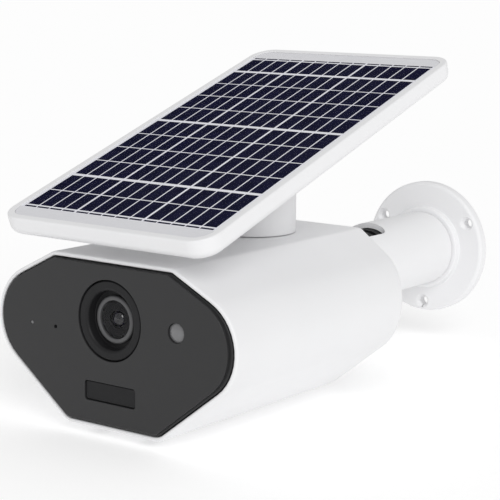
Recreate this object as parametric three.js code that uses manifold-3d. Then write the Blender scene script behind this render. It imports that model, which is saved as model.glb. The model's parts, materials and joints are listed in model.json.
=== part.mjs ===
// Solar-powered security camera on a swivelling wall bracket. Millimetres, +Z up.
// The wall is the plane y = 0 and the camera looks along -Y. The origin is the centre of the wall
// flange's back face, and the bracket, the housing and the lens lie along the Y axis.
import * as THREE from 'three';
import { mergeVertices } from 'three/addons/utils/BufferGeometryUtils.js';
import Module from 'manifold-3d';

const wasm = await Module();
wasm.setup();

// ---------------------------------------------------------------- driving dimensions

const GAP = 0.3; // clearance between pieces that touch
const PLAY = 0.4; // radial clearance of a turning or sliding fit

// Wall flange
const FLANGE_RADIUS = 35.7;
const FLANGE_THICKNESS = 6;
const FLANGE_EDGE_ROUND = 2;
const COLLAR_HEIGHT = 3;
const COLLAR_SPREAD = 3;
const WALL_SCREW_COUNT = 3;
const WALL_SCREW_CIRCLE_RADIUS = 30.4;
const WALL_SCREW_HOLE_RADIUS = 2.3;
const COUNTERSINK_RADIUS = 3.75;
const COUNTERSINK_DEPTH = 1.8;
const SPIGOT_RADIUS = 11.6;
const SPIGOT_RECESS_DEPTH = 3.4;

// Neck: a sleeve that turns on the flange and holds the ball
const NECK_RADIUS = 19.7;
const NECK_WALL = 2.7;
const PIVOT_TO_WALL = 72;
const NECK_LIP_LENGTH = 14;
const SEAT_MOUTH_RADIUS = 14.6;
const NOTCH_HALF_WIDTH = 11.5;
const NOTCH_BEHIND_PIVOT = 11;
const PAD_SETBACK = 0.4; // from the pivot to the pad's front edge, as a share of the ball's radius
const NOTCH_CORNER_RADIUS = 5;
const PLUG_LENGTH = 14;
const LOCK_SCREW_RADIUS = 2.5;
const LOCK_SCREW_PROUD = 2.5;
const LOCK_SCREW_DRIVER = 1.5;
const SWIVEL_SCREW_RADIUS = 3; // of its hole
const SWIVEL_WASHER_SPREAD = 3;
const SWIVEL_WASHER_THICKNESS = 1.2;

// Ball stud
const STEM_RADIUS = 9.5;
const STUD_THREAD_RADIUS = 4;
const STUD_THREAD_LENGTH = 16;
const LOCK_NUT_RADIUS = 14;
const LOCK_NUT_THICKNESS = 6;
const WASHER_RADIUS = 12;
const WASHER_THICKNESS = 2;

// Housing outline, as the front plate's sharp hexagon: half widths and heights from the body axis
const TOP_HALF_WIDTH = 33.3;
const TOP_HEIGHT = 25.9;
const APEX_HALF_WIDTH = 85;
const BOTTOM_HALF_WIDTH = 26;
const BOTTOM_HEIGHT = -45.4;
const SIDE_ROUND = 22;
const TOP_CORNER_ROUND = 4;
const BOTTOM_CORNER_ROUND = 7;

// Housing
const BODY_LENGTH = 150;
const REAR_REACH = 42; // from the ball's centre to the housing's rear face
const RIM = 2.2; // how far the housing stands outside the front plate all round
const HOUSING_WALL = 3.4;
const DOME_RADIUS = 119;
const DOME_CENTRE_HEIGHT = 10;
const REAR_PAD_RADIUS = 16;
const REAR_PAD_LENGTH = 6;
const INSERT_RADIUS = 6.7;
const INSERT_LENGTH = 17;

// Front plate and what looks out through it
const PLATE_THICKNESS = 4;
const PLATE_PROUD = 1.5;
const GASKET_THICKNESS = 1;
const SKIRT_DEPTH = 9;
const SKIRT_WALL = 2.4;
const LENS_HEIGHT = 1.55;
const LENS_BEZEL_RADIUS = 17.5;
const LENS_BEZEL_DEPTH = 8;
const LENS_BARREL_RADIUS = 9.7;
const LENS_RECESS = 3.5;
const LENS_GLASS_RADIUS = 7.6;
const LENS_GLASS_DEPTH = 2.6; // from the barrel's front edge to the glass's back
const LENS_GLASS_EDGE = 1;
const BARREL_HEAD_LENGTH = 5;
const BARREL_TAIL_LENGTH = 7;
const BARREL_TO_BOARD = 2;
const IMAGE_CHIP_HALF_WIDTH = 4;
const IMAGE_CHIP_HALF_HEIGHT = 3;
const IMAGE_CHIP_THICKNESS = 1.4;
const PIR_HALF_WIDTH = 14.1;
const PIR_HALF_HEIGHT = 4.05;
const PIR_HEIGHT = -30.6;
const PIR_RECESS = 0.5;
const PIR_CORNER_ROUND = 1.8;
const PIR_CAN_RADIUS = 4.1;
const PIR_CAN_FRONT = 1; // from the plate's back to the can's face
const PIR_CAN_LENGTH = 4.5;
const PIR_CAN_FLANGE = 0.6; // its thickness and its spread
const LIGHT_SENSOR_X = 36.9;
const LIGHT_SENSOR_HEIGHT = 1.5;
const LIGHT_SENSOR_RADIUS = 4;
const MICROPHONE_X = -31.5;
const LED_X = -45.8;
const SMALL_HOLE_HEIGHT = -5.1;
const MICROPHONE_HOLE_RADIUS = 0.7;
const MICROPHONE_RADIUS = 3;
const LED_RADIUS = 1.1;
const LIGHT_SENSOR_RECESS = 0.7;
const LIGHT_SENSOR_SHOULDER = 1.4;
const LED_RECESS = 0.3;
const SENSOR_DEPTH = 3; // behind the plate, of the light sensor, the lamp and the microphone
const FRONT_SCREW_X = 14;
const FRONT_SCREW_FROM_SKIRT_END = 3;
const FRONT_SCREW_RADIUS = 1.5;
const FRONT_SCREW_HEAD_RADIUS = 3;
const FRONT_SCREW_HEAD_THICKNESS = 1.4;

// Inside the housing
const BOARD_THICKNESS = 1.6;
const BATTERY_RADIUS = 9.2;
const BATTERY_TIP_RADIUS = 2.8;
const BATTERY_LENGTH = 65;
const BATTERY_COUNT = 4;
const TRAY_WALL = 1.4;
const TRAY_SIDE_ROOM = 5; // from the tray's lower edges across to the housing's slanting sides
const SPEAKER_RADIUS = 11;
const SPEAKER_THICKNESS = 5;
const SPEAKER_HEIGHT = -28;
const GRILLE_HOLE_RADIUS = 0.9;
const GRILLE_RING_RADIUS = 5;
const GRILLE_RING_HOLES = 6;
const MAIN_BOARD_FROM_PLATE = 24;
const LENS_MOUNT_RADIUS = 7;
const LENS_HOLDER_HALF_WIDTH = 11;
const SENSOR_BOARD_HALF_WIDTH = 17;
const SENSOR_BOARD_HALF_HEIGHT = 15;

// Service pocket in the underside
const POCKET_FROM_PLATE = 47; // from the plate's front face to the pocket's centre
const POCKET_HALF_WIDTH = 19;
const POCKET_HALF_LENGTH = 15;
const POCKET_DEPTH = 8.5;
const POCKET_WALL = 1.5;
const COVER_THICKNESS = 1.8;
const COVER_PIN_RADIUS = 0.5;
const COVER_PIN_PLAY = 0.2;
const COVER_PIN_LENGTH = 1.4;
const USB_X = -9;
const USB_FROM_CENTRE = -5;
const USB_HALF_WIDTH = 4.5;
const USB_HALF_HEIGHT = 1.6;
const USB_WALL = 0.6;
const USB_DEPTH = 6.5;
const CARD_X = 7;
const CARD_FROM_CENTRE = -5;
const CARD_HALF_WIDTH = 5.5;
const CARD_HALF_THICKNESS = 0.4;
const CARD_LENGTH = 15;
const CARD_PROUD = 1.8; // below the pocket's roof
const CARD_PRESS = 0.8; // how far past its seat the card goes to be let go
const BUTTONS_FROM_CENTRE = 6;
const RESET_X = -9;
const RESET_RADIUS = 2;
const RESET_PROUD = 1.4;
const POWER_X = 3.2; // of the switch's knob when it is off
const POWER_HALF_WIDTH = 2;
const POWER_HALF_HEIGHT = 1.3;
const POWER_PROUD = 2;
const POWER_TRAVEL = 4.5;

// Post that carries the panel
const POST_FROM_PLATE = 101;
const POST_RADIUS = 20.5;
const POST_TOP_HEIGHT = 61;
const PIN_HEIGHT = 56;
const PIN_RADIUS = 2.8;
const LUG_HALF_WIDTH = 8;
const LUG_RADIUS = 7.5;
const POST_NUT_RADIUS = 16.5;
const POST_NUT_THICKNESS = 3;
const POST_BORE_RADIUS = 6;
const POST_SEAL_FROM_SPIGOT = 2.4;
const POST_SEAL_WIDTH = 2.4;
const POST_SEAL_THICKNESS = 1.2;
const LUG_SWING_ROOM = 1.5; // under the lug
const PIN_HEAD_RADIUS = 5;
const PIN_HEAD_DEPTH = 3.4;

// Solar panel, measured in its own tilted frame whose origin is the pin
const PANEL_TILT = THREE.MathUtils.degToRad(19);
const PANEL_WIDTH = 117;
const PANEL_LENGTH = 204;
const PANEL_THICKNESS = 9.5;
const PANEL_CORNER_RADIUS = 11;
const PANEL_CENTRE_Y = -5.5;
const PIN_TO_PANEL = 13.05;
const PANEL_RIM = 3.5;
const PANEL_LEDGE = 2.5;
const BACK_COVER_THICKNESS = 2;
const BACK_COVER_SET_IN = 0.4; // from the frame's underside
const GRID_SIDE_MARGIN = 5.3; // from the panel's sides to the cells
const GRID_END_MARGIN = 14.7;
const CELL_GAP = 2.2;
const COLUMN_SHARES = [4, 5, 5]; // strips in each column of cells
const ROW_SHARES = [2, 4, 4, 1]; // strips in each row of cells, from the low edge
const BACKSHEET_THICKNESS = 1;
const CELL_THICKNESS = 0.4;
const GLASS_THICKNESS = 1.2;
const GLASS_BELOW_RIM = 0.2;

// ---------------------------------------------------------------- places worked out from them

const PIVOT_Y = -PIVOT_TO_WALL;
const REAR_Y = PIVOT_Y - REAR_REACH;
const PLATE_Y = REAR_Y - BODY_LENGTH; // the plate's front face
const LIP_Y = PLATE_Y + PLATE_PROUD; // the housing's front edge
const PLATE_BACK_Y = PLATE_Y + PLATE_THICKNESS;
const LEDGE_Y = PLATE_BACK_Y + GASKET_THICKNESS + 2 * GAP;
const HOUSING_TOP = TOP_HEIGHT + RIM;
const HOUSING_BOTTOM = BOTTOM_HEIGHT - RIM;
const CAVITY_INSET = RIM - HOUSING_WALL;
const CAVITY_TOP = TOP_HEIGHT + CAVITY_INSET;
const CAVITY_REAR_Y = REAR_Y - HOUSING_WALL;
const NECK_BORE_RADIUS = NECK_RADIUS - NECK_WALL;
const BALL_RADIUS = NECK_BORE_RADIUS - PLAY;
const NECK_BACK_Y = -FLANGE_THICKNESS - COLLAR_HEIGHT - GAP;
const NECK_FRONT_Y = PIVOT_Y - NECK_LIP_LENGTH;
const POST_Y = PLATE_Y + POST_FROM_PLATE;
const POCKET_Y = PLATE_Y + POCKET_FROM_PLATE;
const SPEAKER_DROP = DOME_CENTRE_HEIGHT - SPEAKER_HEIGHT + SPEAKER_RADIUS; // its low edge
const SPEAKER_BACK_Y = CAVITY_REAR_Y - SPEAKER_DROP ** 2 / (2 * DOME_RADIUS) - 1;
const SPEAKER_FRONT_Y = SPEAKER_BACK_Y - SPEAKER_THICKNESS;
const BATTERY_REAR_Y = SPEAKER_FRONT_Y - TRAY_WALL - 3 * GAP;
const BATTERY_PITCH = 2 * (BATTERY_RADIUS + GAP);
const TRAY_HALF_WIDTH = BATTERY_COUNT * BATTERY_PITCH / 2;
const TRAY_UNDER = lowerSideHeight(TRAY_HALF_WIDTH + TRAY_SIDE_ROOM, CAVITY_INSET);
const BATTERY_HEIGHT = TRAY_UNDER + TRAY_WALL + GAP + BATTERY_RADIUS;
const FRONT_SCREW_Y = PLATE_BACK_Y + SKIRT_DEPTH - FRONT_SCREW_FROM_SKIRT_END;
const FRONT_SCREW_HEAD_UNDER = HOUSING_BOTTOM + 0.2;
const FRONT_SCREW_HEAD_TOP = FRONT_SCREW_HEAD_UNDER + FRONT_SCREW_HEAD_THICKNESS;
const FRONT_SCREW_TIP = HOUSING_BOTTOM + HOUSING_WALL + 3.5;
const POCKET_ROOF = HOUSING_BOTTOM + POCKET_DEPTH; // its inner face
const POCKET_ROOF_TOP = POCKET_ROOF + POCKET_WALL;
const USB_Y = POCKET_Y + USB_FROM_CENTRE;
const CARD_Y = POCKET_Y + CARD_FROM_CENTRE;
const BUTTONS_Y = POCKET_Y + BUTTONS_FROM_CENTRE;

const FINE = 28; // facets round a large turned piece
const COARSE = 16; // facets round a small one
const SHARPEST = 0.4; // the smallest corner radius that an inset outline keeps

// ---------------------------------------------------------------- materials

function material(color, roughness, metalness = 0) {
  return new THREE.MeshStandardMaterial({ color, roughness, metalness });
}

const whiteShell = material(0xf1f1f2, 0.42);
const greyTrim = material(0x9c9c9c, 0.5);
const darkPlate = material(0x3d3d3e, 0.34);
const blackPlastic = material(0x151515, 0.5);
const blackRubber = material(0x1b1b1b, 0.8);
const steel = material(0xb9bbbd, 0.3, 1);
const brass = material(0xb79a52, 0.35, 1);
const lensGlass = material(0x0c0d12, 0.05);
const clearGlass = material(0xdfe6ea, 0.05);
const cellSilicon = material(0x181634, 0.25);
const boardGreen = material(0x1d5b36, 0.6);
const batteryWrap = material(0x2f66a8, 0.45);
const backsheetWhite = material(0xd6d6e0, 0.6);

// ---------------------------------------------------------------- solids

// A closed three.js geometry as a solid that can be joined and cut.
function solid(geometry) {
  const bare = geometry.clone();
  bare.deleteAttribute('normal');
  bare.deleteAttribute('uv');
  const merged = mergeVertices(bare, 1e-4);
  const corners = merged.index.array;
  const triangles = [];
  for (let i = 0; i < corners.length; i += 3) {
    const [a, b, c] = corners.slice(i, i + 3);
    if (a !== b && b !== c && c !== a) triangles.push(a, b, c);
  }
  return new wasm.Manifold(new wasm.Mesh({
    numProp: 3,
    vertProperties: merged.attributes.position.array,
    triVerts: new Uint32Array(triangles),
  }));
}

// A solid's surface as a three.js geometry.
function surface(body) {
  const mesh = body.getMesh();
  const geometry = new THREE.BufferGeometry();
  geometry.setAttribute('position', new THREE.BufferAttribute(mesh.vertProperties, 3));
  geometry.setIndex(new THREE.BufferAttribute(mesh.triVerts, 1));
  geometry.computeVertexNormals();
  return geometry;
}

// Turns a profile of [radius, distance along the axis] points about the Y axis.
function turned(profile, facets = COARSE) {
  let points = profile.map(([r, y]) => new THREE.Vector2(r, y));
  if (THREE.ShapeUtils.area(points) < 0) points = points.reverse();
  const first = points[0];
  const last = points[points.length - 1];
  if (first.x > 0 || last.x > 0) points.push(first.clone());
  return solid(new THREE.LatheGeometry(points, facets));
}

// A round rod along Y.
function rodY(radius, y0, y1, x = 0, z = 0, facets = COARSE) {
  return turned([[0, y0], [radius, y0], [radius, y1], [0, y1]], facets).translate([x, 0, z]);
}

// A round rod along Z.
function rodZ(radius, z0, z1, x = 0, y = 0, facets = COARSE) {
  return turned([[0, z0], [radius, z0], [radius, z1], [0, z1]], facets)
    .rotate([90, 0, 0]).translate([x, y, 0]);
}

// A round rod along X.
function rodX(radius, x0, x1, y = 0, z = 0, facets = COARSE) {
  return turned([[0, x0], [radius, x0], [radius, x1], [0, x1]], facets)
    .rotate([0, 0, -90]).translate([0, y, z]);
}

// A ring along Y.
function ringY(outer, inner, y0, y1, facets = COARSE) {
  return turned([[inner, y0], [outer, y0], [outer, y1], [inner, y1]], facets);
}

function block(x0, x1, y0, y1, z0, z1) {
  const geometry = new THREE.BoxGeometry(x1 - x0, y1 - y0, z1 - z0);
  geometry.translate((x0 + x1) / 2, (y0 + y1) / 2, (z0 + z1) / 2);
  return solid(geometry);
}

// An upright block about a place, by its half sizes.
function bar(x, y, halfWidth, halfLength, z0, z1) {
  return block(x - halfWidth, x + halfWidth, y - halfLength, y + halfLength, z0, z1);
}

// A shape drawn in X and Y, raised from z0 to z1.
function raised(shape, z0, z1, curveSegments = 4) {
  const options = { depth: z1 - z0, bevelEnabled: false, curveSegments };
  return solid(new THREE.ExtrudeGeometry(shape, options)).translate([0, 0, z0]);
}

// A shape drawn in X and Z, drawn out from y0 to y1.
function drawn(shape, y0, y1, curveSegments = 4) {
  return raised(shape, 0, y1 - y0, curveSegments).rotate([90, 0, 0]).translate([0, y1, 0]);
}

// A polygon, given anticlockwise as [x, y, corner radius], with its sides moved out by a distance.
function roundedPolygon(corners, outset = 0) {
  const count = corners.length;
  const side = (i) => {
    const [x0, y0] = corners[(i + count) % count];
    const [x1, y1] = corners[(i + 1) % count];
    const length = Math.hypot(x1 - x0, y1 - y0);
    const normal = [(y1 - y0) / length, (x0 - x1) / length];
    return { normal, offset: normal[0] * x0 + normal[1] * y0 + outset };
  };
  const shape = new THREE.Shape();
  for (let i = 0; i < count; i++) {
    const before = side(i - 1);
    const after = side(i);
    const radius = Math.max(corners[i][2] + outset, SHARPEST);
    const [a, b] = before.normal;
    const [c, d] = after.normal;
    const across = a * d - b * c;
    const p = before.offset - radius;
    const q = after.offset - radius;
    const centre = [(p * d - q * b) / across, (a * q - c * p) / across];
    shape.absarc(centre[0], centre[1], radius, Math.atan2(b, a), Math.atan2(d, c), false);
  }
  shape.closePath();
  return shape;
}

// The six-sided outline of the body in X and Z, moved out by a distance.
function bodyOutline(outset) {
  return roundedPolygon([
    [APEX_HALF_WIDTH, 0, SIDE_ROUND],
    [TOP_HALF_WIDTH, TOP_HEIGHT, TOP_CORNER_ROUND],
    [-TOP_HALF_WIDTH, TOP_HEIGHT, TOP_CORNER_ROUND],
    [-APEX_HALF_WIDTH, 0, SIDE_ROUND],
    [-BOTTOM_HALF_WIDTH, BOTTOM_HEIGHT, BOTTOM_CORNER_ROUND],
    [BOTTOM_HALF_WIDTH, BOTTOM_HEIGHT, BOTTOM_CORNER_ROUND],
  ], outset);
}

// Height of the body's slanting lower side, moved out by a distance, at x from the middle.
function lowerSideHeight(x, outset) {
  const across = APEX_HALF_WIDTH - BOTTOM_HALF_WIDTH;
  const length = Math.hypot(across, BOTTOM_HEIGHT);
  return (BOTTOM_HEIGHT * (APEX_HALF_WIDTH - x) - length * outset) / across;
}

function roundedRectangle(halfWidth, halfHeight, radius) {
  return roundedPolygon([
    [-halfWidth, -halfHeight, radius],
    [halfWidth, -halfHeight, radius],
    [halfWidth, halfHeight, radius],
    [-halfWidth, halfHeight, radius],
  ]);
}

// A quarter or shorter arc as profile points, from one angle to another, in degrees.
function arc(r, y, radius, from, to, steps) {
  return Array.from({ length: steps + 1 }, (_, i) => {
    const angle = THREE.MathUtils.degToRad(from + (to - from) * i / steps);
    return [r + radius * Math.cos(angle), y + radius * Math.sin(angle)];
  });
}

function mesh(name, body, finish) {
  const made = new THREE.Mesh(surface(body), finish);
  made.name = name;
  return made;
}

// ---------------------------------------------------------------- wall bracket

function wallFlange() {
  const collarTop = -FLANGE_THICKNESS - COLLAR_HEIGHT;
  const collarOuter = NECK_RADIUS + COLLAR_SPREAD;
  const edge = arc(FLANGE_RADIUS - FLANGE_EDGE_ROUND, FLANGE_EDGE_ROUND - FLANGE_THICKNESS,
    FLANGE_EDGE_ROUND, 0, -90, 2);
  const fillet = arc(collarOuter, collarTop, COLLAR_SPREAD, 90, 180, 3);
  const bore = SPIGOT_RADIUS + PLAY;
  const recess = SPIGOT_RADIUS + 4;
  let body = turned([
    [bore, -SPIGOT_RECESS_DEPTH], [recess, -SPIGOT_RECESS_DEPTH], [recess, 0], [FLANGE_RADIUS, 0],
    ...edge, ...fillet, [bore, collarTop],
  ], FINE);
  for (let i = 0; i < WALL_SCREW_COUNT; i++) {
    const angle = Math.PI / 6 + i * 2 * Math.PI / WALL_SCREW_COUNT;
    const x = WALL_SCREW_CIRCLE_RADIUS * Math.cos(angle);
    const z = WALL_SCREW_CIRCLE_RADIUS * Math.sin(angle);
    const hole = turned([
      [0, 1], [WALL_SCREW_HOLE_RADIUS, 1],
      [WALL_SCREW_HOLE_RADIUS, COUNTERSINK_DEPTH - FLANGE_THICKNESS],
      [COUNTERSINK_RADIUS, -FLANGE_THICKNESS], [COUNTERSINK_RADIUS, -FLANGE_THICKNESS - 1],
      [0, -FLANGE_THICKNESS - 1],
    ]);
    body = body.subtract(hole.translate([x, 0, z]));
  }
  return mesh('wall_flange', body, whiteShell);
}

function neck() {
  const seatAngle = THREE.MathUtils.radToDeg(Math.acos(SEAT_MOUTH_RADIUS / NECK_BORE_RADIUS));
  const seat = arc(0, PIVOT_Y, NECK_BORE_RADIUS, 0, -seatAngle, 4);
  const lipBore = NECK_RADIUS - 2;
  let sleeve = turned([
    [NECK_BORE_RADIUS, NECK_BACK_Y], [NECK_RADIUS, NECK_BACK_Y],
    [NECK_RADIUS, NECK_FRONT_Y + 0.8], [NECK_RADIUS - 0.8, NECK_FRONT_Y],
    [lipBore, NECK_FRONT_Y], ...seat.reverse(),
  ], FINE);
  const notchLength = NOTCH_BEHIND_PIVOT + NECK_LIP_LENGTH + 2 * NOTCH_CORNER_RADIUS;
  const notchCentre = PIVOT_Y + NOTCH_BEHIND_PIVOT - notchLength / 2;
  const notch = roundedRectangle(NOTCH_HALF_WIDTH, notchLength / 2, NOTCH_CORNER_RADIUS);
  sleeve = sleeve.subtract(raised(notch, 0, NECK_RADIUS + 1).translate([0, notchCentre, 0]));
  sleeve = sleeve.subtract(
    rodZ(LOCK_SCREW_RADIUS + GAP, -NECK_RADIUS - 1, -NECK_BORE_RADIUS + 2, 0, PIVOT_Y));

  const plugFront = NECK_BACK_Y - PLUG_LENGTH;
  const plugRadius = NECK_BORE_RADIUS - GAP;
  const plug = turned([
    [SWIVEL_SCREW_RADIUS, plugFront], [plugRadius, plugFront], [plugRadius, NECK_BACK_Y],
    [SPIGOT_RADIUS, NECK_BACK_Y], [SPIGOT_RADIUS, -SPIGOT_RECESS_DEPTH - GAP],
    [SWIVEL_SCREW_RADIUS, -SPIGOT_RECESS_DEPTH - GAP],
  ], FINE);
  const washerFront = -SPIGOT_RECESS_DEPTH + GAP;
  const washerBack = washerFront + SWIVEL_WASHER_THICKNESS;
  const washerRadius = SPIGOT_RADIUS + SWIVEL_WASHER_SPREAD;
  const screw = turned([
    [0, plugFront + 2], [SWIVEL_SCREW_RADIUS - GAP, plugFront + 2], [SWIVEL_SCREW_RADIUS - GAP, washerFront],
    [washerRadius, washerFront], [washerRadius, washerBack],
    [5, washerBack], [4.2, -0.5], [0, -0.5],
  ]);

  const padBack = plugFront - GAP;
  const padFront = PIVOT_Y + PAD_SETBACK * BALL_RADIUS;
  const cup = solid(new THREE.SphereGeometry(BALL_RADIUS + GAP, FINE, FINE / 2));
  const pad = rodY(plugRadius, padFront, padBack, 0, 0, FINE)
    .subtract(cup.translate([0, PIVOT_Y, 0]))
    .subtract(rodY(SWIVEL_SCREW_RADIUS + 1, padFront - 1, padBack + 1));
  const lockScrew = rodZ(LOCK_SCREW_RADIUS, -NECK_RADIUS - LOCK_SCREW_PROUD, -NECK_BORE_RADIUS, 0,
    PIVOT_Y).subtract(rodZ(LOCK_SCREW_DRIVER, -NECK_RADIUS - LOCK_SCREW_PROUD - 1, -NECK_RADIUS, 0,
    PIVOT_Y, 6));
  return [
    mesh('neck_sleeve', sleeve, whiteShell),
    mesh('neck_end_plug', plug, steel),
    mesh('neck_retaining_screw', screw, steel),
    mesh('ball_pressure_pad', pad, blackPlastic),
    mesh('ball_lock_screw', lockScrew, steel),
  ];
}

function ballStud() {
  const washerBack = REAR_Y + GAP + WASHER_THICKNESS;
  const nutBack = washerBack + GAP + LOCK_NUT_THICKNESS;
  const shoulder = nutBack + GAP;
  const threadEnd = REAR_Y - STUD_THREAD_LENGTH;
  const ball = solid(new THREE.SphereGeometry(BALL_RADIUS, 28, 16)).rotate([90, 0, 0])
    .translate([0, PIVOT_Y, 0]);
  const stem = turned([
    [0, threadEnd], [STUD_THREAD_RADIUS - 0.8, threadEnd], [STUD_THREAD_RADIUS, threadEnd + 1],
    [STUD_THREAD_RADIUS, shoulder], [STEM_RADIUS - 1, shoulder], [STEM_RADIUS, shoulder + 1],
    [STEM_RADIUS, PIVOT_Y], [0, PIVOT_Y],
  ], 28);
  const grips = 12;
  let nut = ringY(LOCK_NUT_RADIUS, STUD_THREAD_RADIUS + GAP, nutBack - LOCK_NUT_THICKNESS, nutBack,
    2 * grips);
  for (let i = 0; i < grips; i++) {
    const angle = i * 2 * Math.PI / grips;
    const reach = LOCK_NUT_RADIUS + 0.8;
    nut = nut.subtract(rodY(1.6, nutBack - LOCK_NUT_THICKNESS - 1, nutBack + 1,
      reach * Math.cos(angle), reach * Math.sin(angle), 8));
  }
  const washer = ringY(WASHER_RADIUS, STUD_THREAD_RADIUS + GAP, REAR_Y + GAP, washerBack);
  return [
    mesh('ball_stud', ball.add(stem), blackPlastic),
    mesh('stud_lock_nut', nut, steel),
    mesh('stud_washer', washer, blackRubber),
  ];
}

// ---------------------------------------------------------------- housing

// The body's rear end: everything in front of a shallow dome, set in from the outside by a distance.
function behindDome(inset) {
  const apex = REAR_Y - inset;
  const radius = DOME_RADIUS - inset;
  const reach = APEX_HALF_WIDTH + 5;
  const lowest = THREE.MathUtils.radToDeg(Math.acos(reach / radius));
  const cap = arc(0, apex - radius, radius, lowest, 90, 6);
  cap[cap.length - 1][0] = 0;
  return turned([[0, PLATE_Y - 1], [reach, PLATE_Y - 1], ...cap], FINE)
    .translate([0, 0, DOME_CENTRE_HEIGHT]);
}

function pocketOpenings() {
  const z0 = POCKET_ROOF - 1;
  const z1 = POCKET_ROOF_TOP + 1;
  const power = POWER_HALF_WIDTH + GAP + 0.2;
  return [
    bar(USB_X, USB_Y, USB_HALF_WIDTH + GAP, USB_HALF_HEIGHT + GAP, z0, z1),
    bar(CARD_X, CARD_Y, CARD_HALF_WIDTH + 0.5, CARD_HALF_THICKNESS + PLAY, z0, z1),
    rodZ(RESET_RADIUS + PLAY, z0, z1, RESET_X, BUTTONS_Y),
    block(POWER_X - power, POWER_X + POWER_TRAVEL + power, BUTTONS_Y - POWER_HALF_HEIGHT - 0.5,
      BUTTONS_Y + POWER_HALF_HEIGHT + 0.5, z0, z1),
  ];
}

function housingShell() {
  const front = LIP_Y;
  let shell = drawn(bodyOutline(RIM), front, REAR_Y + 5).intersect(behindDome(0));
  shell = shell.add(rodY(REAR_PAD_RADIUS, REAR_Y - REAR_PAD_LENGTH, REAR_Y, 0, 0, FINE));
  shell = shell.subtract(drawn(bodyOutline(GAP), front - 1, LEDGE_Y));
  const cavity = drawn(bodyOutline(CAVITY_INSET), front - 1, REAR_Y).intersect(
    behindDome(HOUSING_WALL));
  const boss = rodY(INSERT_RADIUS + 3, REAR_Y - HOUSING_WALL - INSERT_LENGTH + 2, REAR_Y);
  shell = shell.subtract(cavity.subtract(boss));
  shell = shell.subtract(rodY(INSERT_RADIUS + GAP, REAR_Y - INSERT_LENGTH - 6, REAR_Y + 1));

  const w = POCKET_HALF_WIDTH;
  const l = POCKET_HALF_LENGTH;
  const coverSeat = HOUSING_BOTTOM + COVER_THICKNESS + GAP;
  shell = shell.add(bar(0, POCKET_Y, w, l, HOUSING_BOTTOM + 1, POCKET_ROOF_TOP));
  shell = shell.subtract(bar(0, POCKET_Y, w - POCKET_WALL, l - POCKET_WALL, HOUSING_BOTTOM - 1,
    POCKET_ROOF));
  shell = shell.subtract(bar(0, POCKET_Y, w, l, HOUSING_BOTTOM - 1, coverSeat));
  const hinge = coverHinge();
  shell = shell.subtract(rodX(COVER_PIN_RADIUS + COVER_PIN_PLAY, -w - 2, w + 2, hinge.y,
    hinge.z, 12));
  for (const opening of pocketOpenings()) shell = shell.subtract(opening);

  shell = shell.subtract(rodZ(SPIGOT_RADIUS + PLAY, CAVITY_TOP - 1, HOUSING_TOP + 1, 0, POST_Y,
    FINE));
  for (const side of [-1, 1]) {
    shell = shell.subtract(frontScrewHole(side * FRONT_SCREW_X, GAP));
  }
  for (let i = 0; i <= GRILLE_RING_HOLES; i++) {
    const ring = i === 0 ? 0 : GRILLE_RING_RADIUS;
    const angle = i * 2 * Math.PI / GRILLE_RING_HOLES;
    shell = shell.subtract(rodY(GRILLE_HOLE_RADIUS, SPEAKER_BACK_Y, REAR_Y, ring * Math.cos(angle),
      SPEAKER_HEIGHT + ring * Math.sin(angle), 8));
  }
  return mesh('housing_shell', shell, whiteShell);
}

// The room that a screw takes, with a clearance round it, up into the plate's skirt.
function frontScrewHole(x, clearance) {
  const under = HOUSING_BOTTOM - 1;
  return rodZ(FRONT_SCREW_RADIUS + clearance, under, FRONT_SCREW_TIP + 0.5, x, FRONT_SCREW_Y, 12)
    .add(rodZ(FRONT_SCREW_HEAD_RADIUS + clearance, under, FRONT_SCREW_HEAD_TOP + GAP, x,
      FRONT_SCREW_Y, 12));
}

function frontScrew(name, x) {
  const driverDepth = FRONT_SCREW_HEAD_UNDER + FRONT_SCREW_HEAD_THICKNESS / 2;
  const shank = rodZ(FRONT_SCREW_RADIUS, FRONT_SCREW_HEAD_TOP - 0.6, FRONT_SCREW_TIP, x,
    FRONT_SCREW_Y, 12);
  const head = rodZ(FRONT_SCREW_HEAD_RADIUS, FRONT_SCREW_HEAD_UNDER, FRONT_SCREW_HEAD_TOP, x,
    FRONT_SCREW_Y, 12);
  const slot = bar(x, FRONT_SCREW_Y, FRONT_SCREW_HEAD_RADIUS - 1, 0.4, HOUSING_BOTTOM - 1,
    driverDepth);
  return mesh(name, shank.add(head).subtract(slot), steel);
}

// ---------------------------------------------------------------- front plate and optics

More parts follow.
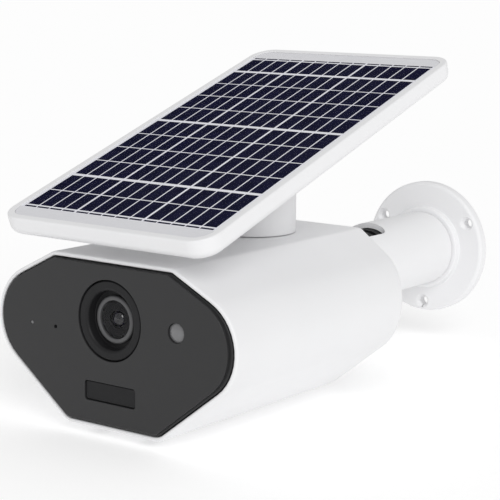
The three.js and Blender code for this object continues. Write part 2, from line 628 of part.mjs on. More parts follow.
function frontPlate() {
  const skirtOuter = CAVITY_INSET - GAP - PLAY;
  let plate = drawn(bodyOutline(0), PLATE_Y, PLATE_BACK_Y);
  const skirt = drawn(bodyOutline(skirtOuter), PLATE_BACK_Y - 1, PLATE_BACK_Y + SKIRT_DEPTH)
    .subtract(drawn(bodyOutline(skirtOuter - SKIRT_WALL), PLATE_BACK_Y, PLATE_BACK_Y + SKIRT_DEPTH + 1));
  plate = plate.add(skirt);
  plate = plate.subtract(rodY(LENS_BEZEL_RADIUS + GAP, PLATE_Y - 1, PLATE_BACK_Y + 1, 0, LENS_HEIGHT,
    FINE));
  const window = roundedRectangle(PIR_HALF_WIDTH + GAP, PIR_HALF_HEIGHT + GAP, 2);
  plate = plate.subtract(drawn(window, PLATE_Y - 1, PLATE_BACK_Y + 1, 3).translate([0, 0, PIR_HEIGHT]));
  plate = plate.subtract(rodY(LIGHT_SENSOR_RADIUS + GAP, PLATE_Y - 1, PLATE_BACK_Y + 1,
    LIGHT_SENSOR_X, LIGHT_SENSOR_HEIGHT));
  plate = plate.subtract(rodY(MICROPHONE_HOLE_RADIUS, PLATE_Y - 1, PLATE_BACK_Y + 1, MICROPHONE_X,
    SMALL_HOLE_HEIGHT, 12));
  plate = plate.subtract(rodY(LED_RADIUS + GAP, PLATE_Y - 1, PLATE_BACK_Y + 1, LED_X,
    SMALL_HOLE_HEIGHT, 12));
  for (const side of [-1, 1]) {
    plate = plate.subtract(frontScrewHole(side * FRONT_SCREW_X, GAP));
  }
  const gasketInner = skirtOuter + GAP;
  const gasket = drawn(bodyOutline(0), PLATE_BACK_Y + GAP, LEDGE_Y - GAP)
    .subtract(drawn(bodyOutline(gasketInner), PLATE_BACK_Y, LEDGE_Y));
  return [mesh('front_plate', plate, darkPlate), mesh('front_gasket', gasket, blackRubber)];
}

function optics() {
  const barrelFront = PLATE_Y + LENS_RECESS;
  const barrelStep = barrelFront + BARREL_HEAD_LENGTH;
  const barrelBack = barrelStep + BARREL_TAIL_LENGTH;
  const rear = LENS_MOUNT_RADIUS;
  const bezel = turned([
    [LENS_BEZEL_RADIUS - 1.3, PLATE_Y], [LENS_BEZEL_RADIUS, PLATE_Y],
    [LENS_BEZEL_RADIUS, PLATE_Y + LENS_BEZEL_DEPTH],
    [LENS_BARREL_RADIUS + GAP, PLATE_Y + LENS_BEZEL_DEPTH],
    [LENS_BARREL_RADIUS + GAP, barrelFront + 0.6], [LENS_BARREL_RADIUS + 1.9, barrelFront + 0.6],
    [LENS_BARREL_RADIUS + 3.2, PLATE_Y + 1.4], [LENS_BEZEL_RADIUS - 2, PLATE_Y + 0.9],
  ], FINE).translate([0, 0, LENS_HEIGHT]);
  const glassBack = barrelFront + LENS_GLASS_DEPTH;
  const barrel = turned([
    [0, barrelBack], [rear, barrelBack], [rear, barrelStep], [LENS_BARREL_RADIUS, barrelStep],
    [LENS_BARREL_RADIUS, barrelFront], [LENS_GLASS_RADIUS + GAP, barrelFront],
    [LENS_GLASS_RADIUS + GAP, glassBack + GAP], [0, glassBack + GAP],
  ], 32).translate([0, 0, LENS_HEIGHT]);
  const crown = arc(0, glassBack + 5, 8.9, -58.5, -90, 4);
  crown[crown.length - 1][0] = 0;
  const glass = turned([[0, glassBack], [LENS_GLASS_RADIUS, glassBack],
    [LENS_GLASS_RADIUS, glassBack - LENS_GLASS_EDGE], ...crown.slice(1)], 32).translate([0, 0, LENS_HEIGHT]);
  const boardFront = barrelBack + BARREL_TO_BOARD;
  const h = LENS_HOLDER_HALF_WIDTH;
  const holder = block(-h, h, barrelStep + GAP, boardFront - GAP, LENS_HEIGHT - h, LENS_HEIGHT + h)
    .subtract(rodY(rear + GAP, barrelStep, boardFront, 0, LENS_HEIGHT));
  const board = block(-SENSOR_BOARD_HALF_WIDTH, SENSOR_BOARD_HALF_WIDTH, boardFront,
    boardFront + BOARD_THICKNESS, LENS_HEIGHT - SENSOR_BOARD_HALF_HEIGHT,
    LENS_HEIGHT + SENSOR_BOARD_HALF_HEIGHT)
    .add(block(-IMAGE_CHIP_HALF_WIDTH, IMAGE_CHIP_HALF_WIDTH, boardFront - IMAGE_CHIP_THICKNESS,
      boardFront + BOARD_THICKNESS / 2, LENS_HEIGHT - IMAGE_CHIP_HALF_HEIGHT,
      LENS_HEIGHT + IMAGE_CHIP_HALF_HEIGHT));
  return [
    mesh('lens_bezel', bezel, blackPlastic),
    mesh('lens_barrel', barrel, greyTrim),
    mesh('lens_glass', glass, lensGlass),
    mesh('lens_holder', holder, blackPlastic),
    mesh('image_sensor_board', board, boardGreen),
  ];
}

function frontSensors() {
  const back = PLATE_BACK_Y + GAP;
  const window = drawn(roundedRectangle(PIR_HALF_WIDTH, PIR_HALF_HEIGHT, PIR_CORNER_ROUND),
    PLATE_Y + PIR_RECESS,
    PLATE_BACK_Y, 3).translate([0, 0, PIR_HEIGHT]);
  const canFront = back + PIR_CAN_FRONT;
  const canBack = canFront + PIR_CAN_LENGTH;
  const flangeRadius = PIR_CAN_RADIUS + PIR_CAN_FLANGE;
  const flangeFront = canBack - PIR_CAN_FLANGE;
  const pir = turned([[0, canBack], [flangeRadius, canBack], [flangeRadius, flangeFront],
    [PIR_CAN_RADIUS, flangeFront], [PIR_CAN_RADIUS, canFront], [0, canFront]])
    .translate([0, 0, PIR_HEIGHT]);
  const end = back + SENSOR_DEPTH;
  const stem = LIGHT_SENSOR_RADIUS - LIGHT_SENSOR_SHOULDER;
  const face = PLATE_Y + LIGHT_SENSOR_RECESS;
  const light = turned([[0, end], [stem, end], [stem, PLATE_BACK_Y],
    [LIGHT_SENSOR_RADIUS, PLATE_BACK_Y], [LIGHT_SENSOR_RADIUS, face], [0, face]])
    .translate([LIGHT_SENSOR_X, 0, LIGHT_SENSOR_HEIGHT]);
  const led = rodY(LED_RADIUS, PLATE_Y + LED_RECESS, end, LED_X, SMALL_HOLE_HEIGHT, 12);
  const microphone = rodY(MICROPHONE_RADIUS, back, end, MICROPHONE_X, SMALL_HOLE_HEIGHT);
  return [
    mesh('pir_window', window, blackPlastic),
    mesh('pir_sensor', pir, steel),
    mesh('light_sensor_lens', light, greyTrim),
    mesh('status_led_lens', led, greyTrim),
    mesh('microphone', microphone, blackPlastic),
  ];
}

// ---------------------------------------------------------------- inside the housing

function electronics() {
  const boardFront = PLATE_Y + MAIN_BOARD_FROM_PLATE;
  const board = drawn(bodyOutline(CAVITY_INSET - SKIRT_WALL - 4), boardFront,
    boardFront + BOARD_THICKNESS).add(block(-12, 12, boardFront + 1, boardFront + 4, -8, 12));
  const antennaTop = CAVITY_TOP - GAP;
  const antenna = block(-24, 4, boardFront + 8, boardFront + 17, antennaTop - 0.8, antennaTop);
  const magnetRadius = SPEAKER_RADIUS - 3;
  const speaker = turned([
    [0, SPEAKER_FRONT_Y], [magnetRadius, SPEAKER_FRONT_Y], [magnetRadius, SPEAKER_BACK_Y - 2],
    [SPEAKER_RADIUS, SPEAKER_BACK_Y - 2], [SPEAKER_RADIUS, SPEAKER_BACK_Y],
    [SPEAKER_RADIUS - 1.5, SPEAKER_BACK_Y], [3, SPEAKER_BACK_Y - 1.5], [0, SPEAKER_BACK_Y - 1.5],
  ]).translate([0, 0, SPEAKER_HEIGHT]);
  const insertBack = REAR_Y - 0.2;
  const insert = ringY(INSERT_RADIUS, STUD_THREAD_RADIUS + PLAY, insertBack - INSERT_LENGTH,
    insertBack);
  return [
    mesh('main_board', board, boardGreen),
    mesh('wifi_antenna', antenna, blackPlastic),
    mesh('speaker', speaker, blackPlastic),
    mesh('stud_insert', insert, brass),
  ];
}

function batteries() {
  const rear = BATTERY_REAR_Y;
  const front = rear - BATTERY_LENGTH;
  const cells = Array.from({ length: BATTERY_COUNT }, (_, i) => {
    const x = (i - (BATTERY_COUNT - 1) / 2) * BATTERY_PITCH;
    const body = turned([[0, front], [BATTERY_TIP_RADIUS, front], [BATTERY_TIP_RADIUS, front + 1],
      [BATTERY_RADIUS - 0.6, front + 1], [BATTERY_RADIUS, front + 1.8], [BATTERY_RADIUS, rear],
      [0, rear]]);
    return mesh(`battery_${i + 1}`, body.translate([x, 0, BATTERY_HEIGHT]), batteryWrap);
  });
  const half = TRAY_HALF_WIDTH - GAP;
  const endWall = (from) => block(1 - half, half - 1, from, from + TRAY_WALL, TRAY_UNDER,
    BATTERY_HEIGHT + 4);
  const trayFront = front - GAP - TRAY_WALL;
  const trayRear = rear + GAP + TRAY_WALL;
  const tray = block(-half, half, trayFront, trayRear, TRAY_UNDER, TRAY_UNDER + TRAY_WALL)
    .add(endWall(trayFront)).add(endWall(rear + GAP));
  return [mesh('battery_tray', tray, blackPlastic), ...cells];
}

// ---------------------------------------------------------------- service pocket

function coverHinge() {
  const radius = COVER_THICKNESS / 2;
  return {
    radius,
    y: POCKET_Y + POCKET_HALF_LENGTH - radius - GAP,
    z: HOUSING_BOTTOM + radius,
  };
}

function servicePieces() {
  const hinge = coverHinge();
  const halfWidth = POCKET_HALF_WIDTH - GAP;
  const roof = POCKET_ROOF;
  const inside = POCKET_ROOF_TOP + GAP;
  const cover = block(-halfWidth, halfWidth, POCKET_Y - POCKET_HALF_LENGTH + GAP, hinge.y,
    HOUSING_BOTTOM, HOUSING_BOTTOM + COVER_THICKNESS)
    .add(rodX(hinge.radius, -halfWidth, halfWidth, hinge.y, hinge.z, 16))
    .add(rodX(COVER_PIN_RADIUS, -halfWidth - COVER_PIN_LENGTH, halfWidth + COVER_PIN_LENGTH, hinge.y,
      hinge.z, 12))
    .add(block(-6, 6, POCKET_Y - POCKET_HALF_LENGTH + POCKET_WALL + GAP,
      POCKET_Y - POCKET_HALF_LENGTH + POCKET_WALL + 2, HOUSING_BOTTOM + 1, HOUSING_BOTTOM + 5));
  const usb = bar(USB_X, USB_Y, USB_HALF_WIDTH, USB_HALF_HEIGHT, roof - 0.5, roof + USB_DEPTH)
    .subtract(bar(USB_X, USB_Y, USB_HALF_WIDTH - USB_WALL, USB_HALF_HEIGHT - USB_WALL, roof - 2,
      roof + USB_DEPTH - 1.5));
  const cardTop = roof - CARD_PROUD + CARD_LENGTH;
  const slotWidth = CARD_HALF_WIDTH + PLAY;
  const slotHeight = CARD_HALF_THICKNESS + PLAY;
  const socketTop = cardTop + CARD_PRESS + GAP + 0.5;
  const socket = bar(CARD_X, CARD_Y, slotWidth + 1.6, slotHeight + 1.2, inside, socketTop + 1)
    .subtract(bar(CARD_X, CARD_Y, slotWidth, slotHeight, inside - 1, socketTop));
  const card = bar(CARD_X, CARD_Y, CARD_HALF_WIDTH, CARD_HALF_THICKNESS, roof - CARD_PROUD, cardTop);
  const reset = rodZ(RESET_RADIUS, roof - RESET_PROUD, inside + 0.2, RESET_X, BUTTONS_Y)
    .add(rodZ(RESET_RADIUS + 1, inside, inside + 0.9, RESET_X, BUTTONS_Y));
  const slider = bar(POWER_X, BUTTONS_Y, POWER_HALF_WIDTH, POWER_HALF_HEIGHT, roof - POWER_PROUD,
    inside + 0.2).add(bar(POWER_X, BUTTONS_Y, POWER_HALF_WIDTH + 1.8, POWER_HALF_HEIGHT + 1.3, inside,
    inside + 1));
  return [
    mesh('service_cover', cover, whiteShell),
    mesh('usb_socket', usb, steel),
    mesh('card_socket', socket, steel),
    mesh('memory_card', card, blackPlastic),
    mesh('reset_button', reset, blackPlastic),
    mesh('power_slider', slider, blackPlastic),
  ];
}

// ---------------------------------------------------------------- panel post

function post() {
  const base = HOUSING_TOP + GAP;
  const nutTop = CAVITY_TOP - GAP;
  const slot = LUG_HALF_WIDTH + GAP;
  const slotFloor = PIN_HEIGHT - LUG_RADIUS - LUG_SWING_ROOM;
  const sealInner = SPIGOT_RADIUS + POST_SEAL_FROM_SPIGOT;
  const sealOuter = sealInner + POST_SEAL_WIDTH;
  const sealTop = base + POST_SEAL_THICKNESS;
  let body = turned([
    [POST_BORE_RADIUS, nutTop - POST_NUT_THICKNESS - 1],
    [SPIGOT_RADIUS, nutTop - POST_NUT_THICKNESS - 1],
    [SPIGOT_RADIUS, base], [POST_RADIUS, base], [POST_RADIUS, POST_TOP_HEIGHT - 1],
    [POST_RADIUS - 1, POST_TOP_HEIGHT], [POST_BORE_RADIUS, POST_TOP_HEIGHT],
  ], FINE).rotate([90, 0, 0]);
  const groove = turned([[sealInner - GAP, base - 1], [sealOuter + GAP, base - 1],
    [sealOuter + GAP, sealTop + GAP], [sealInner - GAP, sealTop + GAP]], FINE).rotate([90, 0, 0]);
  body = body.subtract(groove);
  body = body.subtract(block(-slot, slot, -POST_RADIUS - 1, POST_RADIUS + 1, slotFloor,
    POST_TOP_HEIGHT + 1));
  body = body.subtract(rodX(PIN_RADIUS + GAP, -POST_RADIUS - 1, POST_RADIUS + 1, 0, PIN_HEIGHT));
  for (const side of [-1, 1]) {
    const from = side * (POST_RADIUS - PIN_HEAD_DEPTH);
    const to = side * (POST_RADIUS + 1);
    body = body.subtract(rodX(PIN_HEAD_RADIUS + GAP, Math.min(from, to), Math.max(from, to), 0,
      PIN_HEIGHT));
  }
  const seal = turned([[sealInner, base], [sealOuter, base], [sealOuter, sealTop],
    [sealInner, sealTop]], FINE).rotate([90, 0, 0]);
  const nut = turned([
    [SPIGOT_RADIUS + GAP, nutTop - POST_NUT_THICKNESS],
    [POST_NUT_RADIUS, nutTop - POST_NUT_THICKNESS],
    [POST_NUT_RADIUS, nutTop], [SPIGOT_RADIUS + GAP, nutTop],
  ], FINE).rotate([90, 0, 0]);
  const headInner = POST_RADIUS - PIN_HEAD_DEPTH + GAP;
  const headOuter = POST_RADIUS - 1;
  const bolt = rodX(PIN_RADIUS, -headOuter, headInner + 1, 0, PIN_HEIGHT)
    .add(rodX(PIN_HEAD_RADIUS, headInner, headOuter, 0, PIN_HEIGHT))
    .subtract(turned([[0, headOuter - 1.2], [2.3, headOuter - 1.2], [2.3, headOuter + 1],
      [0, headOuter + 1]], 6).rotate([0, 0, -90]).translate([0, 0, PIN_HEIGHT]));
  const boltNut = rodX(PIN_HEAD_RADIUS - 0.2, -headOuter, -headInner, 0, PIN_HEIGHT, 6)
    .subtract(rodX(PIN_RADIUS + GAP, -headOuter - 1, 1 - headInner, 0, PIN_HEIGHT));
  const place = [0, POST_Y, 0];
  return [
    mesh('panel_post', body.translate(place), whiteShell),
    mesh('post_seal', seal.translate(place), blackRubber),
    mesh('post_retaining_nut', nut.translate(place), blackPlastic),
    mesh('tilt_bolt', bolt.translate(place), steel),
    mesh('tilt_nut', boltNut.translate(place), steel),
  ];
}

// ---------------------------------------------------------------- solar panel

// A rounded slab of the panel, set in from its outline by a distance.
function panelSlab(inset, z0, z1) {
  const shape = roundedRectangle(PANEL_WIDTH / 2 - inset, PANEL_LENGTH / 2 - inset,
    Math.max(PANEL_CORNER_RADIUS - inset, 1));
  return raised(shape, z0, z1).translate([0, PANEL_CENTRE_Y, 0]);
}

// Splits a width into parts in proportion to the shares, with a gap between neighbours.
function split(width, shares, gap) {
  const total = shares.reduce((sum, share) => sum + share, 0);
  const unit = (width - gap * (shares.length - 1)) / total;
  let start = -width / 2;
  return shares.map((share) => {
    const span = [start, start + share * unit];
    start = span[1] + gap;
    return span;
  });
}

function panel() {
  const under = PIN_TO_PANEL;
  const top = under + PANEL_THICKNESS;
  const glassTop = top - GLASS_BELOW_RIM;
  const glassUnder = glassTop - GLASS_THICKNESS;
  const cellTop = glassUnder - GAP;
  const cellUnder = cellTop - CELL_THICKNESS;
  const sheetTop = cellUnder - GAP;
  const sheetUnder = sheetTop - BACKSHEET_THICKNESS;
  const ledge = sheetUnder - GAP;
  const frame = panelSlab(0, under, top)
    .subtract(panelSlab(PANEL_RIM, ledge, top + 1))
    .subtract(panelSlab(PANEL_RIM + PANEL_LEDGE, under - 1, ledge + 1));
  const laminateInset = PANEL_RIM + GAP;
  const glass = panelSlab(laminateInset, glassUnder, glassTop);
  const sheet = panelSlab(laminateInset, sheetUnder, sheetTop);
  const coverInset = PANEL_RIM + PANEL_LEDGE + GAP;
  const lug = rodX(LUG_RADIUS, -LUG_HALF_WIDTH, LUG_HALF_WIDTH, 0, 0, 24)
    .add(block(-LUG_HALF_WIDTH, LUG_HALF_WIDTH, -LUG_RADIUS, LUG_RADIUS, 0,
      under + BACK_COVER_THICKNESS / 2))
    .subtract(rodX(PIN_RADIUS + GAP, -LUG_HALF_WIDTH - 1, LUG_HALF_WIDTH + 1));
  const coverUnder = under + BACK_COVER_SET_IN;
  const cover = panelSlab(coverInset, coverUnder, coverUnder + BACK_COVER_THICKNESS).add(lug);

  const group = new THREE.Group();
  group.position.set(0, POST_Y, PIN_HEIGHT);
  group.rotation.x = PANEL_TILT;
  group.add(
    mesh('panel_frame', frame, whiteShell),
    mesh('panel_back_cover', cover, whiteShell),
    mesh('panel_backsheet', sheet, backsheetWhite),
    mesh('panel_glass', glass, clearGlass),
  );
  const columns = split(PANEL_WIDTH - 2 * GRID_SIDE_MARGIN, COLUMN_SHARES, CELL_GAP);
  const rows = split(PANEL_LENGTH - 2 * GRID_END_MARGIN, ROW_SHARES, CELL_GAP);
  rows.forEach(([y0, y1], row) => {
    columns.forEach(([x0, x1], column) => {
      const cell = block(x0, x1, PANEL_CENTRE_Y + y0, PANEL_CENTRE_Y + y1, cellUnder, cellTop);
      group.add(mesh(`solar_cell_${row + 1}_${column + 1}`, cell, cellSilicon));
    });
  });
  return group;
}

// ---------------------------------------------------------------- the whole camera

const camera = new THREE.Group();
camera.add(
  wallFlange(),
  ...neck(),
  ...ballStud(),
  housingShell(),
  ...frontPlate(),
  ...optics(),
  ...frontSensors(),
  ...electronics(),
  ...batteries(),
  frontScrew('front_screw_left', -FRONT_SCREW_X),
  frontScrew('front_screw_right', FRONT_SCREW_X),
  ...servicePieces(),
  ...post(),
  panel(),
);

export default camera;
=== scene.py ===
import json
import math

import bmesh
import bpy
from mathutils import Matrix, Vector


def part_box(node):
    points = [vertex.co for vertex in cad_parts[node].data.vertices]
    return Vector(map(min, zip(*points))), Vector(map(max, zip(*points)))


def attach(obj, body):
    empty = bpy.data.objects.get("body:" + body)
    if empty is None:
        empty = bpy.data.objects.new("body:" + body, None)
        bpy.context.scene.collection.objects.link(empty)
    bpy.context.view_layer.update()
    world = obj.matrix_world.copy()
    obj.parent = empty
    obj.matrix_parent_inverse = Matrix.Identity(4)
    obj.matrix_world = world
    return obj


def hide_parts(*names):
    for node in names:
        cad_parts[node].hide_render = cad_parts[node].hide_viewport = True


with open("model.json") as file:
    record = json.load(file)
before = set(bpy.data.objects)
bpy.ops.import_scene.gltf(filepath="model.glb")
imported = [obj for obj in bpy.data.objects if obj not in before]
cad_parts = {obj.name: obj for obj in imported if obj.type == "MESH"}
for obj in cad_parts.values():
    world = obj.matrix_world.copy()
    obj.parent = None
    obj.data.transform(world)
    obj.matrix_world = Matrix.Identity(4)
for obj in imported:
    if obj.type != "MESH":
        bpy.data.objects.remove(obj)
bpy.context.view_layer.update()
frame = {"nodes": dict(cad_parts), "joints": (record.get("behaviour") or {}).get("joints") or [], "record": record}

# The looks of a solar-powered security camera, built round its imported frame. Lengths are in
# millimetres until a piece is finished, when they become metres. The camera looks along -Y.

MM = 0.001

# ------------------------------------------------------------------ places read from the frame


def box(node):
    """A CAD node's lowest and highest corners, in millimetres."""
    low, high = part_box(node)
    return low / MM, high / MM


def pivot(joint):
    """A joint's own point, in millimetres."""
    found = next(j for j in frame["joints"] if j["name"] == joint)
    return Vector(found["pos_m"]) / MM


PLATE_Y = box("front_plate")[0].y
LIP_Y = box("housing_shell")[0].y
REAR_Y = box("housing_shell")[1].y
HOUSING_BOTTOM = box("housing_shell")[0].z
HOUSING_TOP = box("housing_shell")[1].z
FLANGE_RADIUS = box("wall_flange")[1].x
NECK_RADIUS = box("neck_sleeve")[1].z
NECK_FRONT_Y = box("neck_sleeve")[0].y
NECK_BACK_Y = box("neck_sleeve")[1].y
BALL = pivot("ball_tilt")
POST_AXIS = pivot("panel_turn")
TILT_PIN = pivot("panel_tilt")
COVER_PIN = pivot("cover_hinge")
POST_RADIUS = box("panel_post")[1].x
POST_TOP = box("panel_post")[1].z
LENS = sum(box("lens_glass"), Vector()) / 2
PIR = sum(box("pir_window"), Vector()) / 2
LIGHT_SENSOR = sum(box("light_sensor_lens"), Vector()) / 2
LED = sum(box("status_led_lens"), Vector()) / 2
MICROPHONE = sum(box("microphone"), Vector()) / 2

# ------------------------------------------------------------------ sizes

GAP = 0.3
FLANGE_THICKNESS = 6
FLANGE_ROUND = 2
COLLAR_HEIGHT = 3
COLLAR_WIDTH = 2.4
WALL_SCREW_CIRCLE = 30.4
WALL_SCREW_HOLE = 2.3
COUNTERSINK = 3.75
COUNTERSINK_DEPTH = 1.8
NECK_BORE = 17
SEAT_MOUTH = 14.6
NOTCH_HALF_WIDTH = 11.5
NOTCH_BEHIND_PIVOT = 11
NOTCH_CORNER = 5
NECK_LIP = 14  # from the ball's centre to the sleeve's front
NECK_LIP_WALL = 2
BALL_RADIUS = 16.6
STEM_RADIUS = 9.5
SPIGOT_RADIUS = 11.6

# The body's outline as a sharp hexagon: half width, height and corner radius
BODY_CORNERS = [
    (85, 0, 22), (33.3, 25.9, 4), (-33.3, 25.9, 4),
    (-85, 0, 22), (-26, -45.4, 7), (26, -45.4, 7),
]
RIM = 2.2
HOUSING_WALL = 3.4
DOME_RADIUS = 119
DOME_HEIGHT = 10
PLATE_THICKNESS = 4
FACE_SCALE = (0.972, 0.98)
FACE_DEPTH = 1.5
LENS_BEZEL = 17.5
LENS_BARREL = 9.7
BEZEL_MOUTH = 12.9
BARREL_RING = 10.5
BARREL_MOUTH = 8.4
RING_DEPTH = 3.4
INNER_LENS = 4.1
INNER_DEPTH = 5.7
INNER_DOME = 3.3  # the inner lens's own radius
LIGHT_EYE = 4.15

POCKET_HALF_WIDTH = 19
POCKET_HALF_LENGTH = 15
POCKET_DEPTH = 8.5
POCKET_WALL = 1.5
COVER_THICKNESS = 1.8

PANEL_TILT = math.radians(19)
PANEL_WIDTH = 117
PANEL_LENGTH = 204
PANEL_CORNER = 11
PANEL_CENTRE_Y = -5.5
PANEL_UNDER = 13.05
PANEL_TOP = 22.55
PANEL_RIM = 3.5
PANEL_UNDER_ROUND = 4.4
PANEL_TOP_ROUND = 0.8
PANEL_OPENING = 6
LAMINATE_UNDER = 19.15
GLASS_TOP = 22.4
GLASS_THICKNESS = 0.25
CELL_TOP = 22.1
CELL_PROUD = 0.06
LUG_HALF_WIDTH = 8
LUG_RADIUS = 7.5
PIN_HEAD = 5

FINE = 128  # facets round a large turned piece
COARSE = 48

# ------------------------------------------------------------------ outlines and profiles


def rounded_polygon(corners, outset=0.0, steps=8):
    """Points round a polygon, given anticlockwise as (x, y, corner radius), its sides moved out."""
    sides = []
    for (x0, y0, _), (x1, y1, _) in zip(corners, corners[1:] + corners[:1]):
        length = math.hypot(x1 - x0, y1 - y0)
        normal = ((y1 - y0) / length, (x0 - x1) / length)
        sides.append((normal, normal[0] * x0 + normal[1] * y0 + outset))
    points = []
    for i, (_, _, radius) in enumerate(corners):
        ((a, b), before), ((c, d), after) = sides[i - 1], sides[i]
        r = max(radius + outset, 0.3)
        across = a * d - b * c
        p, q = before - r, after - r
        cx, cy = (p * d - q * b) / across, (a * q - c * p) / across
        start = math.atan2(b, a)
        turn = (math.atan2(d, c) - start) % (2 * math.pi)
        for k in range(steps + 1):
            angle = start + turn * k / steps
            points.append((cx + r * math.cos(angle), cy + r * math.sin(angle)))
    return points


def rounded_rectangle(half_width, half_height, radius, outset=0.0, steps=8):
    corners = [(-half_width, -half_height, radius), (half_width, -half_height, radius),
               (half_width, half_height, radius), (-half_width, half_height, radius)]
    return rounded_polygon(corners, outset, steps)


def body_outline(outset, scale=(1, 1)):
    return [(x * scale[0], z * scale[1]) for x, z in rounded_polygon(BODY_CORNERS, outset, 14)]


def rounded_path(points, steps=5, closed=True):
    """A path of (u, v, fillet radius) points with its corners rounded, as (u, v) points."""
    path = []
    count = len(points)
    for i, (u, v, radius) in enumerate(points):
        here = Vector((u, v))
        if not radius or (not closed and i in (0, count - 1)):
            path.append((u, v))
            continue
        back = (Vector(points[i - 1][:2]) - here).normalized()
        ahead = (Vector(points[(i + 1) % count][:2]) - here).normalized()
        half = back.angle(ahead) / 2
        centre = here + (back + ahead).normalized() * radius / math.sin(half)
        first = here + back * radius / math.tan(half) - centre
        last = here + ahead * radius / math.tan(half) - centre
        turn = first.angle_signed(last)
        for k in range(steps + 1):
            offset = first.copy()
            offset.rotate(Matrix.Rotation(-turn * k / steps, 2))
            path.append(tuple(centre + offset))
    return path


def arc(u, v, radius, start, end, steps):
    """Points on an arc, its angles in degrees."""
    angles = [math.radians(start + (end - start) * k / steps) for k in range(steps + 1)]
    return [(u + radius * math.cos(a), v + radius * math.sin(a)) for a in angles]


# ------------------------------------------------------------------ meshes


def loft(rings, closed=False):
    """A bmesh through rings of points, capped at both ends unless it closes on itself."""
    bm = bmesh.new()
    made = [[bm.verts.new(p) for p in ring] for ring in rings]
    pairs = list(zip(made, made[1:])) + ([(made[-1], made[0])] if closed else [])
    for low, high in pairs:
        for i in range(len(low)):
            j = (i + 1) % len(low)
            bm.faces.new((low[i], low[j], high[j], high[i]))
    if not closed:
        bm.faces.new(made[0][::-1])
        bm.faces.new(made[-1])
    bmesh.ops.recalc_face_normals(bm, faces=bm.faces)
    return bm


def drawn(outline, y0, y1, edge=0.0, steps=3):
    """An outline in X and Z as a function of its outset, drawn along Y, with rounded end edges."""
    path = [(0, y0), (0, y1)]
    if edge:
        path = arc(-edge, y0 + edge, edge, -90, 0, steps) + arc(-edge, y1 - edge, edge, 0, 90, steps)
    return loft([[(x, y, z) for x, z in outline(outset)] for outset, y in path])


def raised(outline, z0, z1, edge=0.0, steps=3):
    """The same, raised along Z from an outline in X and Y."""
    path = [(0, z0), (0, z1)]
    if edge:
        path = arc(-edge, z0 + edge, edge, -90, 0, steps) + arc(-edge, z1 - edge, edge, 0, 90, steps)
    return loft([[(x, y, z) for x, y in outline(outset)] for outset, z in path])


def turned(profile, facets=COARSE):
    """A closed profile of (radius, y) points turned about the Y axis."""
    bm = bmesh.new()
    columns = []
    for k in range(facets):
        angle = 2 * math.pi * k / facets
        columns.append([bm.verts.new((r * math.cos(angle), y, r * math.sin(angle)))
                        for r, y in profile])
    for k, column in enumerate(columns):
        after = columns[(k + 1) % facets]
        for i in range(len(profile)):
            j = (i + 1) % len(profile)
            if profile[i][0] > 1e-6 or profile[j][0] > 1e-6:
                bm.faces.new((column[i], column[j], after[j], after[i]))
    bmesh.ops.remove_doubles(bm, verts=bm.verts, dist=1e-5)
    bmesh.ops.dissolve_degenerate(bm, dist=1e-5, edges=bm.edges)
    bmesh.ops.recalc_face_normals(bm, faces=bm.faces)
    return bm


def rod(radius, y0, y1, edge=0.0, facets=COARSE):
    """A rod along Y with rounded end edges."""
    return turned(rounded_path([(0, y0, 0), (radius, y0, edge), (radius, y1, edge), (0, y1, 0)], 3),
                  facets)


def block(low, high, edge=0.0, segments=2):
    """A box between two corners, its edges rounded."""
    bm = bmesh.new()
    size = Vector(high) - Vector(low)
    middle = (Vector(high) + Vector(low)) / 2
    bmesh.ops.create_cube(bm, size=1, matrix=Matrix.Translation(middle) @ Matrix.Diagonal((*size, 1)))
    if edge:
        bmesh.ops.bevel(bm, geom=bm.edges[:], offset=edge, segments=segments, profile=0.5,
                        affect="EDGES")
    return bm


def moved(bm, place=(0, 0, 0), turn=0.0, axis="X"):
    """Turns a bmesh about an axis through the origin, then moves it."""
    bm.transform(Matrix.Translation(place) @ Matrix.Rotation(turn, 4, axis))
    return bm


def upright(bm, place=(0, 0, 0)):
    """Turns what was made along +Y to stand along +Z."""
    return moved(bm, place, math.pi / 2, "X")


def sideways(bm, place=(0, 0, 0)):
    """Turns what was made along +Y to lie along +X."""
    return moved(bm, place, -math.pi / 2, "Z")


def merged(*parts):
    """Several bmeshes as one, without joining their surfaces."""
    whole = parts[0]
    for part in parts[1:]:
        data = bpy.data.meshes.new("part")
        part.to_mesh(data)
        part.free()
        whole.from_mesh(data)
        bpy.data.meshes.remove(data)
    return whole


def combined(operation, body, *tools):
    """Cuts the tools from a body, or joins them to it."""
    for tool in tools:
        made = []
        for bm in (body, tool):
            data = bpy.data.meshes.new("boolean")
            bm.to_mesh(data)
            bm.free()
            made.append(bpy.data.objects.new("boolean", data))
            bpy.context.scene.collection.objects.link(made[-1])
        modifier = made[0].modifiers.new("boolean", "BOOLEAN")
        modifier.operation = operation
        modifier.solver = "EXACT"
        modifier.object = made[1]
        graph = bpy.context.evaluated_depsgraph_get()
        result = bpy.data.meshes.new_from_object(made[0].evaluated_get(graph))
        body = bmesh.new()
        body.from_mesh(result)
        bpy.data.meshes.remove(result)
        for obj in made:
            data = obj.data
            bpy.data.objects.remove(obj)
            bpy.data.meshes.remove(data)
    bmesh.ops.remove_doubles(body, verts=body.verts, dist=1e-4)
    return body


def cut(body, *tools):
    return combined("DIFFERENCE", body, *tools)


def joined(body, *tools):
    return combined("UNION", body, *tools)


def softened(bm, width, within=None, angle=40, segments=2):
    """Rounds the sharp edges, or those whose middle the test accepts."""
    edges = []
    for edge in bm.edges:
        if len(edge.link_faces) != 2 or edge.calc_face_angle(0) < math.radians(angle):
            continue
        if within is None or within((edge.verts[0].co + edge.verts[1].co) / 2):
            edges.append(edge)
    bmesh.ops.bevel(bm, geom=edges, offset=width, segments=segments, profile=0.5, affect="EDGES",
                    clamp_overlap=True)
    return bm


